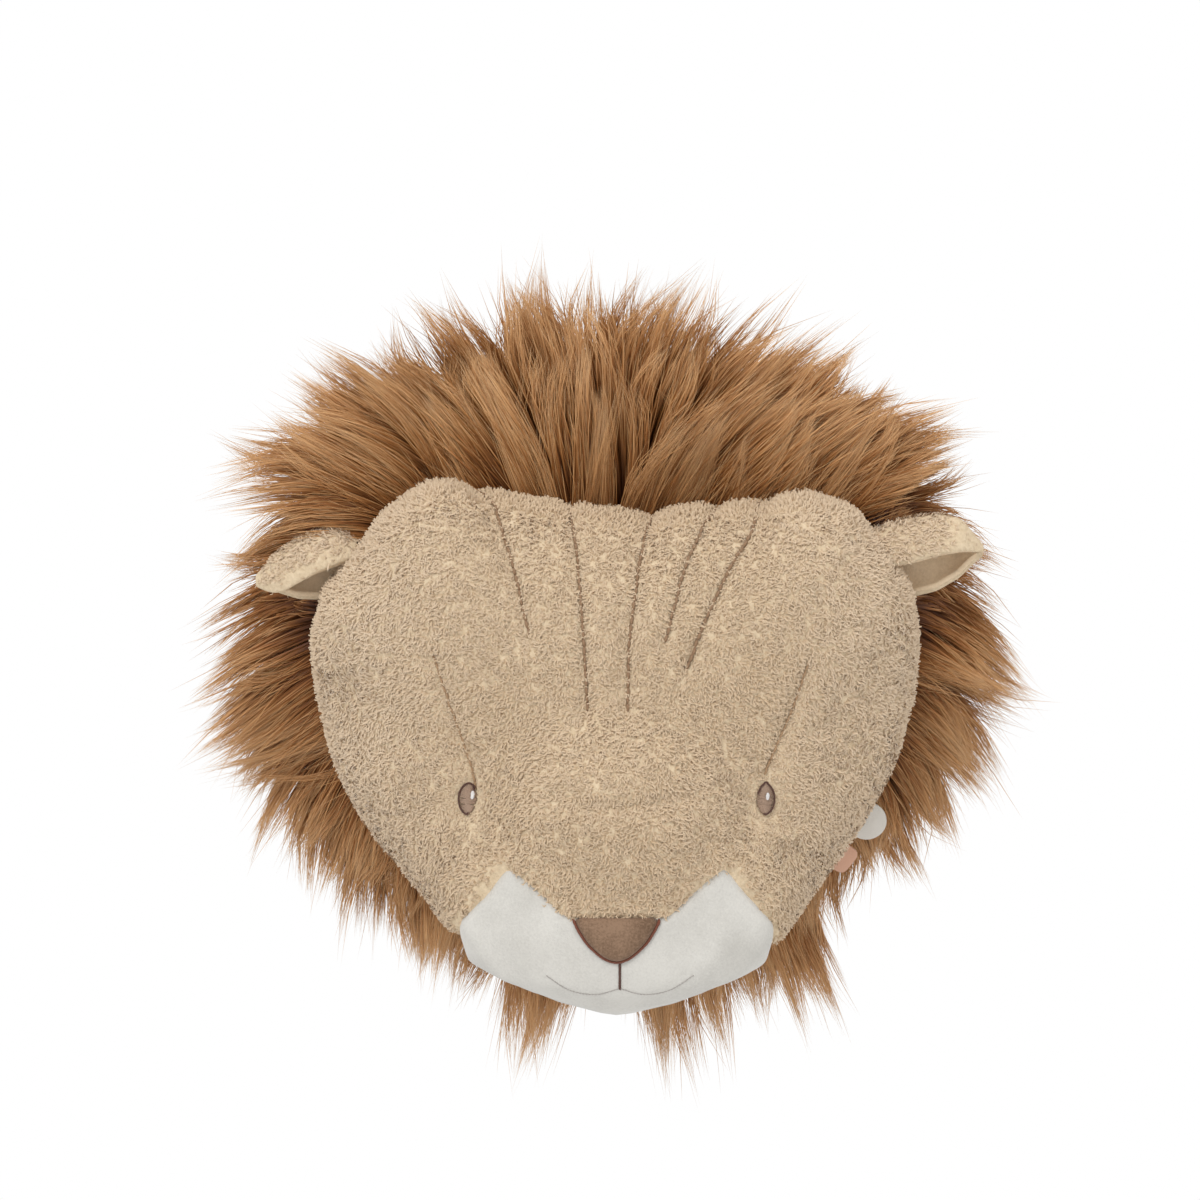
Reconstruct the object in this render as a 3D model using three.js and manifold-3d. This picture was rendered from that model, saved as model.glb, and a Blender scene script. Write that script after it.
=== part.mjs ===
// A stuffed plush lion head that hangs on a wall, in millimetres.
// The wall is the plane y = 0, the face looks along -Y and +Z is up.
// The origin is the middle of the flat board that lies against the wall.
import * as THREE from "three";
import { mergeVertices } from "three/addons/utils/BufferGeometryUtils.js";
import Module from "manifold-3d";

const wasm = await Module();
wasm.setup();

// Clearance between pieces that are sewn or laid together
const SEAM_GAP = 0.3;

// Board against the wall
const BOARD_WIDTH = 232;
const BOARD_HEIGHT = 216;
const BOARD_THICKNESS = 4;

// Head: the stuffed face stands out from the seam that joins it to the mane
const HEAD_WIDTH = 285;
const HEAD_HEIGHT = 222;
const HEAD_MIDDLE = -14; // height of the head's middle above the origin
const SEAM_DEPTH = 74; // from the wall to the seam
const FACE_DEPTH = 132; // from the seam to the nose
const LUMP_BLEND = 9; // how softly the stuffed lumps of the face run together

// Mane
const COLLAR_BULGE = 24; // how far the stuffed collar swells past its two edges
const LOCK_LENGTH = 84;
const LOCK_WIDTH = 42;
const LOCK_THICKNESS = 24;
const LOCKS_IN_RING = 20;

// Muzzle cover and nose pad
const MUZZLE_WIDTH = 142;
const MUZZLE_HEIGHT = 68;
const MUZZLE_DEPTH = 52; // how far the velour cover runs back from the nose
const MUZZLE_RAISE = 1; // how far the velour stands proud of the plush base
const NOSE_WIDTH = 40;
const NOSE_HEIGHT = 19;
const NOSE_RAISE = 3;
const NOSE_DROP = 54.5; // from the head's middle down to the top of the nose

// Mouth
const LIP_DROP = 13; // from the nose down to the lip
const MOUTH_WIDTH = 66;
const MOUTH_CURL = 6; // how far the corners of the mouth turn up

// Eyes
const EYE_WIDTH = 9;
const EYE_HEIGHT = 16;
const EYE_SPACING = 136;
const EYE_DROP = 14; // from the head's middle down to the eyes
const EYE_RAISE = 1.6;

// Ears
const EAR_LENGTH = 57;
const EAR_HEIGHT = 35;
const EAR_DEPTH = 28;
const EAR_WALL = 5; // the plush back with its padding
const LINING_THICKNESS = 2.5;
const EAR_RISE = 77; // from the head's middle up to the ears
const EAR_FRONT = 8; // how far an ear's middle stands in front of the seam
const EAR_SHOWING = 0.8; // share of an ear that stands out of the seam

// Labels in the seam
const TAG_DIAMETER = 19;
const TAG_REACH = 8; // from the seam to the middle of the round label
const TAB_WIDTH = 14;
const TAB_REACH = 17;
const LABEL_THICKNESS = 1.2;
const LABEL_FRONT = 8; // how far the labels lie in front of the seam
const LABEL_STEM = 30; // the hidden stem that is sewn in

// Sunken lines where thread pulls the face in
const STITCH_WIDTH = 2.6;

const cloth = (color, roughness) => new THREE.MeshStandardMaterial({ color, roughness, metalness: 0 });
const materials = {
  plush: cloth(0xcbb494, 0.95),
  fur: cloth(0x9c6f43, 0.9),
  velour: cloth(0xe3ded5, 0.9),
  nap: cloth(0x94785f, 0.85),
  thread: cloth(0x5a3a26, 0.6),
  backing: cloth(0x8a7a66, 0.95),
  label: cloth(0xe9e6df, 0.8),
  tab: cloth(0xcd9a79, 0.85),
};

// Planes and places that the sizes above settle
const NOSE_FRONT = -SEAM_DEPTH - FACE_DEPTH;
const FAR_FRONT = NOSE_FRONT - FACE_DEPTH; // clear of everything, where front cuts start
const BOARD_FRONT = -BOARD_THICKNESS - SEAM_GAP;
const COLLAR_FRONT = -SEAM_DEPTH + SEAM_GAP;
const MUZZLE_BACK = NOSE_FRONT + MUZZLE_DEPTH;
const LABEL_BACK = -SEAM_DEPTH - LABEL_FRONT;
const NOSE_TOP = HEAD_MIDDLE - NOSE_DROP;
const NOSE_BOTTOM = NOSE_TOP - NOSE_HEIGHT;
const LIP_LEVEL = NOSE_BOTTOM - LIP_DROP;
const EYE_LEVEL = HEAD_MIDDLE - EYE_DROP;

const part = new THREE.Group();

// A closed geometry as a solid that can be cut and joined; points closer than weld become one
function solid(geometry, weld = 1e-4) {
  const bare = new THREE.BufferGeometry();
  bare.setAttribute("position", geometry.getAttribute("position"));
  bare.setIndex(geometry.getIndex());
  const merged = mergeVertices(bare, weld);
  return new wasm.Manifold(
    new wasm.Mesh({
      numProp: 3,
      vertProperties: merged.attributes.position.array,
      triVerts: new Uint32Array(merged.index.array),
    }),
  );
}

function geometryOf(shape) {
  const mesh = shape.getMesh();
  const geometry = new THREE.BufferGeometry();
  geometry.setAttribute("position", new THREE.BufferAttribute(mesh.vertProperties, 3));
  geometry.setIndex(new THREE.BufferAttribute(mesh.triVerts, 1));
  return geometry;
}

// The biggest connected skin of a solid, without cut-off tips or slivers between tufts
const SLIVER = 0.01;
function mainSkin(shape) {
  const skins = solid(geometryOf(shape), SLIVER).decompose();
  return skins.reduce((best, skin) => (skin.volume() > best.volume() ? skin : best));
}

function add(name, shape, material) {
  const mesh = new THREE.Mesh(geometryOf(mainSkin(shape)), material);
  mesh.name = name;
  part.add(mesh);
}

// Moves each vertex of a geometry to where place(vector) puts it
function shaped(geometry, place) {
  const position = geometry.getAttribute("position");
  const point = new THREE.Vector3();
  for (let i = 0; i < position.count; i += 1) {
    point.fromBufferAttribute(position, i);
    position.setXYZ(i, ...place(point).toArray());
  }
  return geometry;
}

// An outline drawn as seen from the front, carried along Y from one depth to another
function frontCut(outline, fromY, toY) {
  const cut = new THREE.ExtrudeGeometry(outline, {
    depth: toY - fromY,
    bevelEnabled: false,
    curveSegments: 12,
  });
  return solid(cut.rotateX(Math.PI / 2).translate(0, toY, 0));
}

// All the room in front of a plane
function inFrontOf(y) {
  const span = 2 * HEAD_WIDTH;
  const corners = [[-span, -span], [span, -span], [span, span], [-span, span]];
  return frontCut(new THREE.Shape(corners.map(([x, z]) => new THREE.Vector2(x, z))), FAR_FRONT, y);
}

// A closed outline from a path that runs down its right half, from the middle to the middle
function mirrored(rightHalf) {
  const right = rightHalf.getPoints(5);
  const left = right.filter((point) => point.x > 1e-6).reverse();
  return new THREE.Shape([...right, ...left.map((point) => new THREE.Vector2(-point.x, point.y))]);
}

// A place in the head, as shares of its width, of its depth in front of the seam and of its height
function inHead(x, depth, z) {
  return new THREE.Vector3(
    x * HEAD_WIDTH,
    -SEAM_DEPTH - depth * FACE_DEPTH,
    HEAD_MIDDLE + z * HEAD_HEIGHT,
  );
}

// The stuffed face is one smooth skin over these rounded lumps, in the same shares.
const lump = (x, depth, z, width, reach, height) => ({
  at: inHead(x, depth, z),
  half: new THREE.Vector3(width * HEAD_WIDTH, reach * FACE_DEPTH, height * HEAD_HEIGHT),
});
const bothSides = (x, ...rest) => [lump(x, ...rest), lump(-x, ...rest)];
const cranium = lump(0, 0.14, 0.12, 0.47, 0.44, 0.34);
const temples = bothSides(0.31, 0.12, 0.28, 0.16, 0.3, 0.2);
const cheeks = bothSides(0.26, 0.2, -0.1, 0.19, 0.36, 0.215);
const jowls = bothSides(0.2, 0.44, -0.27, 0.13, 0.34, 0.13);
const bridge = lump(0, 0.54, -0.14, 0.19, 0.36, 0.25);
const whiskerPads = bothSides(0.1, 0.72, -0.36, 0.12, 0.22, 0.12);
const chin = lump(0, 0.62, -0.4, 0.15, 0.26, 0.1);
const jaw = lump(0, 0.16, -0.2, 0.33, 0.4, 0.2);
const lumps = [cranium, ...temples, ...cheeks, ...jowls, bridge, ...whiskerPads, chin, jaw];

// Above zero inside the face
function fullness(point) {
  let sum = 0;
  for (const { at, half } of lumps) {
    const across = point.clone().sub(at).divide(half).length();
    sum += Math.exp(((1 - across) * Math.min(half.x, half.y, half.z)) / LUMP_BLEND);
  }
  return LUMP_BLEND * Math.log(sum);
}

// How far a ray runs before it leaves the face
function reachAlong(from, direction) {
  let near = 0;
  let far = HEAD_WIDTH;
  for (let halving = 0; halving < 32; halving += 1) {
    const middle = (near + far) / 2;
    if (fullness(from.clone().addScaledVector(direction, middle)) > 0) near = middle;
    else far = middle;
  }
  return near;
}

// The y of the face's skin at a place seen from the front
function skinDepth(x, z) {
  return -SEAM_DEPTH - reachAlong(new THREE.Vector3(x, -SEAM_DEPTH, z), new THREE.Vector3(0, -1, 0));
}

// The whole face with its skin moved out by puff, as it would be without the mane behind it
const headHeart = inHead(0, 0.3, 0);
function face(puff) {
  const ball = new THREE.SphereGeometry(1, 42, 24);
  return solid(
    shaped(ball, (direction) => {
      direction.normalize();
      const reach = reachAlong(headHeart, direction);
      return headHeart.clone().addScaledVector(direction, reach + puff);
    }),
  );
}
const faceRoom = face(SEAM_GAP);
const muzzleSkin = face(MUZZLE_RAISE);

// Muzzle cover: level under the nose, a peak on each side, wide corners, and down under the chin
function muzzleOutline(grow) {
  const half = MUZZLE_WIDTH / 2 + grow;
  const notch = NOSE_TOP + grow;
  const peak = NOSE_TOP + MUZZLE_HEIGHT * 0.22 + grow;
  const corner = NOSE_TOP - MUZZLE_HEIGHT * 0.22;
  const bottom = NOSE_TOP - MUZZLE_HEIGHT - grow;
  const right = new THREE.Path();
  right.moveTo(0, notch);
  right.lineTo(half * 0.26, notch);
  right.quadraticCurveTo(half * 0.44, notch, half * 0.68, peak);
  right.quadraticCurveTo(half * 0.88, (peak + corner) / 2, half, corner);
  right.quadraticCurveTo(half * 0.92, bottom, half * 0.55, bottom);
  right.lineTo(0, bottom);
  return mirrored(right);
}
const muzzleRoom = frontCut(muzzleOutline(SEAM_GAP), FAR_FRONT, MUZZLE_BACK + SEAM_GAP);

// Nose: a pad with round shoulders that narrows to the lip
function noseOutline() {
  const half = NOSE_WIDTH / 2;
  const shoulder = NOSE_TOP - NOSE_HEIGHT * 0.12;
  const flank = NOSE_TOP - NOSE_HEIGHT * 0.45;
  const right = new THREE.Path();
  right.moveTo(0, NOSE_TOP);
  right.lineTo(half * 0.86, NOSE_TOP);
  right.quadraticCurveTo(half * 1.12, shoulder, half * 0.9, flank);
  right.quadraticCurveTo(half * 0.6, NOSE_BOTTOM, 0, NOSE_BOTTOM);
  return mirrored(right);
}

// Stitched lines on the forehead and brows, as shares of the head across and up from its middle
const foreheadLines = [
  [[-0.2, 0.468], [-0.163, 0.394], [-0.14, 0.284]],
  [[-0.072, 0.477], [-0.06, 0.387], [-0.053, 0.279], [-0.047, 0.144]],
  [[0.054, 0.477], [0.033, 0.378], [0.02, 0.257], [0.017, 0.144]],
  [[0.151, 0.477], [0.114, 0.405], [0.095, 0.342], [0.079, 0.275]],
  [[0.228, 0.468], [0.172, 0.401], [0.14, 0.311], [0.114, 0.221]],
];
const browLines = [
  [[-0.291, 0.221], [-0.267, 0.126], [-0.239, 0.027]],
  [[0.305, 0.203], [0.288, 0.144], [0.253, 0.032]],
];
const stitchedLines = [...foreheadLines, ...browLines].map((line) => line.map(([x, z]) => {
  const place = inHead(x, 0, z);
  return [place.x, place.z];
}));

// The mouth: a line down from the nose, and a smile to each side that dips before it curls up
const smile = (side) => [0, 1 / 3, 2 / 3, 1].map((run) => [
  (side * run * MOUTH_WIDTH) / 2,
  LIP_LEVEL + MOUTH_CURL * run * (4 * run - 3),
]);
const mouthLines = [[[0, NOSE_BOTTOM], [0, LIP_LEVEL]], smile(-1), smile(1)];

// A tool run along lines on the skin, which leaves them sunken
function furrows(lines, puff) {
  return wasm.Manifold.union(
    lines.map((line) => {
      const points = line.map(([x, z]) => new THREE.Vector3(x, skinDepth(x, z) - puff, z));
      const rim = new THREE.Shape().absarc(0, 0, STITCH_WIDTH / 2, 0, 2 * Math.PI);
      return solid(
        new THREE.ExtrudeGeometry(rim, {
          steps: 2 * (line.length - 1),
          curveSegments: 2,
          extrudePath: new THREE.CatmullRomCurve3(points),
        }),
      );
    }),
  );
}

const head = face(0)
  .intersect(inFrontOf(-SEAM_DEPTH))
  .subtract(muzzleRoom)
  .subtract(furrows(stitchedLines, 0));
add("head", head, materials.plush);

const muzzle = muzzleSkin
  .intersect(frontCut(muzzleOutline(0), FAR_FRONT, MUZZLE_BACK))
  .subtract(furrows(mouthLines, MUZZLE_RAISE));
add("muzzle", muzzle, materials.velour);

const nose = face(MUZZLE_RAISE + SEAM_GAP + NOSE_RAISE)
  .intersect(frontCut(noseOutline(), FAR_FRONT, MUZZLE_BACK))
  .subtract(face(MUZZLE_RAISE + SEAM_GAP));
add("nose", nose, materials.nap);

// Embroidered eyes: upright ovals that lie on the skin
const eyeLayer = face(SEAM_GAP + EYE_RAISE).subtract(faceRoom);
for (const [name, side] of [["eye_left", -1], ["eye_right", 1]]) {
  const middle = (side * EYE_SPACING) / 2;
  const oval = new THREE.Shape().absellipse(middle, EYE_LEVEL, EYE_WIDTH / 2, EYE_HEIGHT / 2, 0, 2 * Math.PI);
  add(name, eyeLayer.intersect(frontCut(oval, FAR_FRONT, -SEAM_DEPTH)), materials.thread);
}

// How far the seam lies from the head's middle, as seen from the front
const seamHeart = inHead(0, 0, 0);
function seamRadius(angle) {
  return reachAlong(seamHeart, new THREE.Vector3(Math.cos(angle), 0, Math.sin(angle)));
}

// Ears: a plush back folded over a velour lining, a scoop that opens down and to the front
const ears = [
  { name: "ear_left", side: -1, hang: 0.3, rise: EAR_RISE, height: EAR_HEIGHT },
  { name: "ear_right", side: 1, hang: 0.08, rise: EAR_RISE + 4, height: EAR_HEIGHT + 5 },
];
const SCOOP_OUT = 2; // the hollow lies out, to the front and down from the ear's middle
const SCOOP_FRONT = 6;
const SCOOP_DOWN = 8;

// A rounded body in an ear's place, thinner by inset; a hollow is moved to where the scoop is
function earBody({ side, hang, rise, height }, inset, hollow = 0) {
  const root = Math.sqrt(seamRadius(Math.atan2(rise, HEAD_WIDTH / 2)) ** 2 - rise ** 2);
  const middle = EAR_LENGTH * (EAR_SHOWING - 0.5);
  const ball = new THREE.SphereGeometry(1, 12, 8);
  ball.scale(EAR_LENGTH / 2 - inset, EAR_DEPTH / 2 - inset, height / 2 - inset);
  ball.translate(side * (middle + hollow * SCOOP_OUT), -hollow * SCOOP_FRONT, -hollow * SCOOP_DOWN);
  ball.rotateY(side * hang);
  return solid(ball.translate(side * root, -SEAM_DEPTH - EAR_FRONT, HEAD_MIDDLE + rise));
}

const maneRoom = []; // what the mane is cut back from
for (const ear of ears) {
  const whole = earBody(ear, 0);
  const back = whole.subtract(earBody(ear, EAR_WALL, 1)).subtract(faceRoom);
  const lining = earBody(ear, EAR_WALL + SEAM_GAP, 1)
    .intersect(whole)
    .subtract(earBody(ear, EAR_WALL + LINING_THICKNESS, 1.12))
    .subtract(faceRoom);
  add(ear.name, back, materials.plush);
  add(ear.name + "_lining", lining, materials.velour);
  maneRoom.push(earBody(ear, -SEAM_GAP));
}

// Labels: flat outlines drawn out from the seam and along it, each turned to its own place
const arc = (out, along, radius, from, to, count) => Array.from({ length: count + 1 }, (_, i) => {
  const turn = THREE.MathUtils.lerp(from, to, i / count);
  return [out + radius * Math.cos(turn), along + radius * Math.sin(turn)];
});
function roundTag(grow) {
  const radius = TAG_DIAMETER / 2 + grow;
  const neck = Math.PI / 6; // half the angle at which the stem meets the round
  const stem = radius * Math.sin(neck);
  return [
    [-LABEL_STEM, stem],
    [-LABEL_STEM, -stem],
    ...arc(TAG_REACH, 0, radius, neck - Math.PI, Math.PI - neck, 22),
  ];
}
function sideTab(grow) {
  const half = TAB_WIDTH / 2 + grow;
  const corner = half / 2;
  const end = TAB_REACH + grow - corner;
  return [
    [-LABEL_STEM, half],
    [-LABEL_STEM, -half],
    ...arc(end, corner - half, corner, -Math.PI / 2, 0, 4),
    ...arc(end, half - corner, corner, 0, Math.PI / 2, 4),
  ];
}
function fromSeam(angle, points) {
  const radius = seamRadius(angle);
  const place = ([out, along]) => new THREE.Vector2(radius + out, along)
    .rotateAround(new THREE.Vector2(), angle)
    .add(new THREE.Vector2(seamHeart.x, seamHeart.z));
  return new THREE.Shape(points.map(place));
}
const labels = [
  { name: "round_tag", angle: -0.43, outline: roundTag, material: materials.label },
  { name: "side_tab", angle: -0.61, outline: sideTab, material: materials.tab },
];
for (const { name, angle, outline, material } of labels) {
  const sheet = frontCut(fromSeam(angle, outline(0)), LABEL_BACK - LABEL_THICKNESS, LABEL_BACK);
  add(name, sheet.subtract(faceRoom), material);
  maneRoom.push(frontCut(fromSeam(angle, outline(SEAM_GAP)), FAR_FRONT, LABEL_BACK + SEAM_GAP));
}

// Mane: a stuffed collar from the board out to the seam. A point on its skin, share 0 at the board
// and 1 at the seam.
function onCollar(angle, share) {
  const round = new THREE.Vector2(Math.cos(angle), Math.sin(angle));
  const atBoard = round.clone().multiply(new THREE.Vector2(BOARD_WIDTH / 2, BOARD_HEIGHT / 2));
  const atSeam = round.multiplyScalar(seamRadius(angle)).add(new THREE.Vector2(0, HEAD_MIDDLE));
  const edge = atBoard.lerp(atSeam, share);
  edge.setLength(edge.length() + COLLAR_BULGE * Math.sin(Math.PI * share));
  return new THREE.Vector3(edge.x, THREE.MathUtils.lerp(BOARD_FRONT, COLLAR_FRONT, share), edge.y);
}
function collar() {
  const drum = new THREE.CylinderGeometry(1, 1, 1, 36, 4);
  return solid(
    shaped(drum, (point) => {
      const share = point.y + 0.5;
      const skin = onCollar(Math.atan2(-point.z, point.x), share);
      const onAxis = Math.hypot(point.x, point.z) < 0.5;
      return onAxis ? new THREE.Vector3(0, skin.y, 0) : skin;
    }),
  );
}

// One lock: a flat tapered tuft along a drooping path, rooted in the collar and pointed at its tip
const ROOTED = 0.18; // share of a lock that lies inside the collar
function lock(root, heading, length, droop) {
  const tuft = new THREE.SphereGeometry(1, 5, 5);
  return solid(
    shaped(tuft, (point) => {
      const along = (point.y + 1) / 2;
      const out = along - ROOTED;
      const fall = droop * Math.max(out, 0);
      const centre = root.clone().addScaledVector(heading, out * length);
      centre.z -= fall * out;
      const tangent = heading.clone().multiplyScalar(length);
      tangent.z -= 2 * fall;
      tangent.normalize();
      const outward = new THREE.Vector3(0, -1, 0).projectOnPlane(tangent).normalize();
      const sideways = tangent.clone().cross(outward);
      const round = Math.hypot(point.x, point.z);
      if (round < 1e-6) return centre;
      const taper = Math.min(1, along / ROOTED) * Math.sqrt(1 - along) / round;
      return centre
        .addScaledVector(sideways, (point.x * taper * LOCK_WIDTH) / 2)
        .addScaledVector(outward, (point.z * taper * LOCK_THICKNESS) / 2);
    }),
  );
}

// A repeatable number from 0 to 1 for each lock
function scatter(seed) {
  const wave = Math.sin(seed * 12.9898 + 4.1) * 43758.5453;
  return wave - Math.floor(wave);
}

// Rings of locks: where on the collar they root, how far they lean to the front, and their length
const lockRings = [
  { share: 0.2, lean: 0.02, length: 0.95 },
  { share: 0.55, lean: 0.1, length: 1 },
  { share: 0.88, lean: 0.2, length: 0.9 },
];
const SIDE_TURN = 0.66; // how far the fur lies over at the sides, in radians
const DROOP = 0.3; // how far a lock's tip sinks, as a share of its length
const locks = lockRings.flatMap(({ share, lean, length }, ring) => (
  Array.from({ length: LOCKS_IN_RING }, (_, i) => {
    const seed = ring * LOCKS_IN_RING + i;
    const turn = i + ring / 2 + 0.4 * (scatter(seed) - 0.5);
    const angle = (turn / LOCKS_IN_RING) * 2 * Math.PI;
    // Fur stands up over the forehead, and lies over and down at the sides.
    const rise = Math.sin(angle);
    const lie = angle - SIDE_TURN * Math.cos(angle) * (1 - 0.6 * rise);
    const heading = new THREE.Vector3(Math.cos(lie), -lean, Math.sin(lie)).normalize();
    const reach = LOCK_LENGTH * length * (0.88 + 0.18 * rise ** 2 + 0.16 * scatter(seed + 500));
    return lock(onCollar(angle, share), heading, reach, reach * DROOP * (1 - 0.7 * Math.max(rise, 0)));
  })
));
const mane = wasm.Manifold.union([collar(), ...locks])
  .intersect(inFrontOf(BOARD_FRONT))
  .subtract(wasm.Manifold.union(maneRoom))
  .subtract(faceRoom.intersect(inFrontOf(COLLAR_FRONT)));
add("mane", mane, materials.fur);

const boardOutline = new THREE.Shape().absellipse(0, 0, BOARD_WIDTH / 2, BOARD_HEIGHT / 2, 0, 2 * Math.PI);
add("back_board", frontCut(boardOutline, -BOARD_THICKNESS, 0), materials.backing);

export default part;
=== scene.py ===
"""The looks of a stuffed plush lion head that hangs on a wall, in metres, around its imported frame.

The wall is the plane y = 0, the face looks along -Y, and +Z is up.
"""
import math

import bmesh
import bpy
import numpy as np
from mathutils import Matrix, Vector
from mathutils.bvhtree import BVHTree


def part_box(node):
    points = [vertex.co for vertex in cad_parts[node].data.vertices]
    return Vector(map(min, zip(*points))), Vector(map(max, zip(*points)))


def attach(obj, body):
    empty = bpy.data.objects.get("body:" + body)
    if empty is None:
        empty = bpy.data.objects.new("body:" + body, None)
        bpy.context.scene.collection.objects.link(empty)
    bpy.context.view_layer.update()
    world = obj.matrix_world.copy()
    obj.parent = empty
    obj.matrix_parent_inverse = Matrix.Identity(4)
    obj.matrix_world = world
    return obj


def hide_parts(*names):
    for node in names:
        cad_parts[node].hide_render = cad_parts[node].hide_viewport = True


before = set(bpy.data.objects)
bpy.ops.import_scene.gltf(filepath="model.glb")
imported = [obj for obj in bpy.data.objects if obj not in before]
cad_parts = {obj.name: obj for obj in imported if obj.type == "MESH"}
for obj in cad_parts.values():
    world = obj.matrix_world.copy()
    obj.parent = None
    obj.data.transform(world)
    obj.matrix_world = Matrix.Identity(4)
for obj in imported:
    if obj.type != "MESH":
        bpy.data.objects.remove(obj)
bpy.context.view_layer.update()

scene = bpy.context.scene
BODY = "root"

# Head: its size, the height of its middle, and where its seam lies in front of the wall
HEAD_WIDTH = 0.285
HEAD_HEIGHT = 0.222
HEAD_MIDDLE = -0.014
SEAM_DEPTH = 0.074
RIM_DEPTH = 0.012  # from the seam to where the head is widest, as seen from the front

# Stuffed covers: how coarse the cloth is that swells, and how far it may swell
HEAD_CLOTH = 0.0038
HEAD_SWELL = 0.003
MUZZLE_CLOTH = 0.0034
MUZZLE_SWELL = 0.0012
MUZZLE_TUCK = 0.0035  # how far the head's cover lies in under the muzzle's
MUZZLE_PEAK_LIFT = 0.003
MUZZLE_WIDER = 0.03
MUZZLE_FULL = 0.004  # how far the velour bulges up between the nose and each peak
SIDE_TURNS = (-90, -58, -45, -36, -26, -17, -3, 5, 15, 25, 35, 44, 60)  # degrees above the head's middle
SIDE_LEFT = (0, -0.005, -0.005, -0.006, -0.006, -0.005, 0.001, 0.002, 0.002, -0.002, -0.007, -0.002, 0)
SIDE_RIGHT = (0, -0.003, -0.004, -0.006, -0.008, -0.007, 0, 0.0015, 0.0005, -0.001, -0.004, 0, 0)
CROWN_PLACES = (-0.12, -0.105, -0.09, -0.073, -0.054, -0.026, -0.007, 0.012, 0.04, 0.067, 0.09, 0.12)
CROWN_LIFTS = (-0.003, 0.0005, 0.008, 0.009, 0.007, 0.005, 0.001, -0.0015, 0.003, 0.001, 0.0025, 0)
CHIN_PLACES = (0.0, 0.007, 0.02, 0.045, 0.062, 0.08)
CHIN_LIFTS = (0.0026, 0.0032, 0.0056, 0.0088, 0.009, 0.006)
FURROW_DEPTH = 0.0030  # how far a sewn line is pulled in
FURROW_REACH = 0.0046
BRIDGE_SHARE = 0.8  # the tuck over the nose's bridge is this much as deep
EYE_DENT = 0.0024  # how far an eye lies in
EYE_DENT_REACH = 0.011

# Short curly pile of the plush
PILE_LENGTH = 0.0038
PILE_WIDTH = 0.00085
PILE_SWIRL = 230.0  # patches of tufts that lean together, in a metre
PILE_DENSITY = 700000.0  # tufts on a square metre
EAR_PILE_DENSITY = 640000.0
PILE_BESIDE_NOSE = 0.0018  # how far the pile keeps off the muzzle's top edge, away from the nose
TUFT_STEPS = 2

# Long fur of the mane
WALL_CLEAR = -0.0015  # the fur presses flat before it meets the wall
FUR_LENGTH = 0.074
FUR_TRIM = 0.006  # how far past the solid mane the fur may reach
FUR_TURNS = (0, 30, 42, 60, 90, 120, 150, 180, 210, 228, 243, 256, 268, 282, 294, 306, 318, 330, 360)
FUR_SIDES = (0.74, 0.78, 0.72, 0.95, 1.12, 1.0, 0.89, 0.81, 0.7)
FUR_CHIN = (0.68, 0.7, 1.14, 0.6, 1.14, 0.84, 1.0, 0.78, 0.64, 0.74)
CHIN = math.radians(270)
CHIN_REACH = 0.85  # the fur hangs straight down and out, this far to each side
CHIN_LOCKS = (220, 231, 243, 256, 280, 286, 295, 306, 318)  # where the chin's locks hang, in degrees
CHIN_GAP = (math.radians(268), 0.07)  # almost no fur hangs here: its middle, and how far to each side
FUR_WIDTH = 0.0007
FUR_STEPS = 4
FUR_DENSITY = 800000.0  # strands on a square metre
FUR_FRIZZ = 0.0036
TUFT_PULL = 0.86  # how far strands draw together into tufts, and below, tufts into locks
LOCK_PULL = 0.86
CROWN_LOCK_PULL = 0.92
CHIN_LOCK_PULL = 0.97
COLLAR_BULGE = 0.021
COLLAR_RINGS = 15
COLLAR_ROUND = 144
UNRULY = 0.85
GUIDE_TURN = 0.2  # how much the guide locks differ: in turn, length, lean and sway
GUIDE_SHORTER = 0.34
GUIDE_LONGER = 0.3
GUIDE_LEAN = 0.12
GUIDE_SWAY = 0.09
SIDE_TURN = 0.76  # how far the fur lies over at the sides, in radians
# The waves in which the fur's direction sways round the head: how far, how many, and where each starts
FUR_WAVES = ((0.12, 3.0, 0.6), (0.12, 7.0, 2.1), (0.07, 13.0, 0.0))
# At these shares of the way from the board to the seam: how far the fur leans to the front, and its length
FUR_SHARES = (0.0, 0.2, 0.55, 0.88, 1.0)
FUR_LEANS = (0.0, 0.02, 0.1, 0.16, 0.18)
FUR_RINGS = (0.9, 0.95, 1.0, 0.9, 0.8)
DROOP = 0.3  # how far a tip sinks, as a share of the fur's length
LOCK_RINGS = 6
LOCKS_IN_RING = 40
CROWN_LOCKS_IN_RING = 56
TUFTS_PER_LOCK = 8
LABEL_ANGLE = -0.4  # the fur stays behind the two labels here, in radians round the head's middle
LABEL_REACH = 0.62
EAR_ANGLES = (math.radians(152), math.radians(30))
EAR_REACH = 0.23

# Camera: the photograph looks down at the face from some way off
VIEW_TARGET = Vector((-0.0075, -0.090, 0.046))
VIEW_DISTANCE = 2.0
VIEW_ELEVATION = math.radians(20.0)
SENSOR = 36.0
LENS = 128.48


def make_camera():
    """The photograph's camera, as far as it can be judged."""
    data = bpy.data.cameras.new("camera")
    data.sensor_width = SENSOR
    data.lens = LENS
    data.clip_end = 100.0
    camera = bpy.data.objects.new("camera", data)
    scene.collection.objects.link(camera)
    back = Vector((0.0, -math.cos(VIEW_ELEVATION), math.sin(VIEW_ELEVATION)))
    camera.location = VIEW_TARGET + VIEW_DISTANCE * back
    camera.rotation_euler = back.to_track_quat("Z", "Y").to_euler()
    scene.camera = camera


make_camera()


# Node trees

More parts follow.
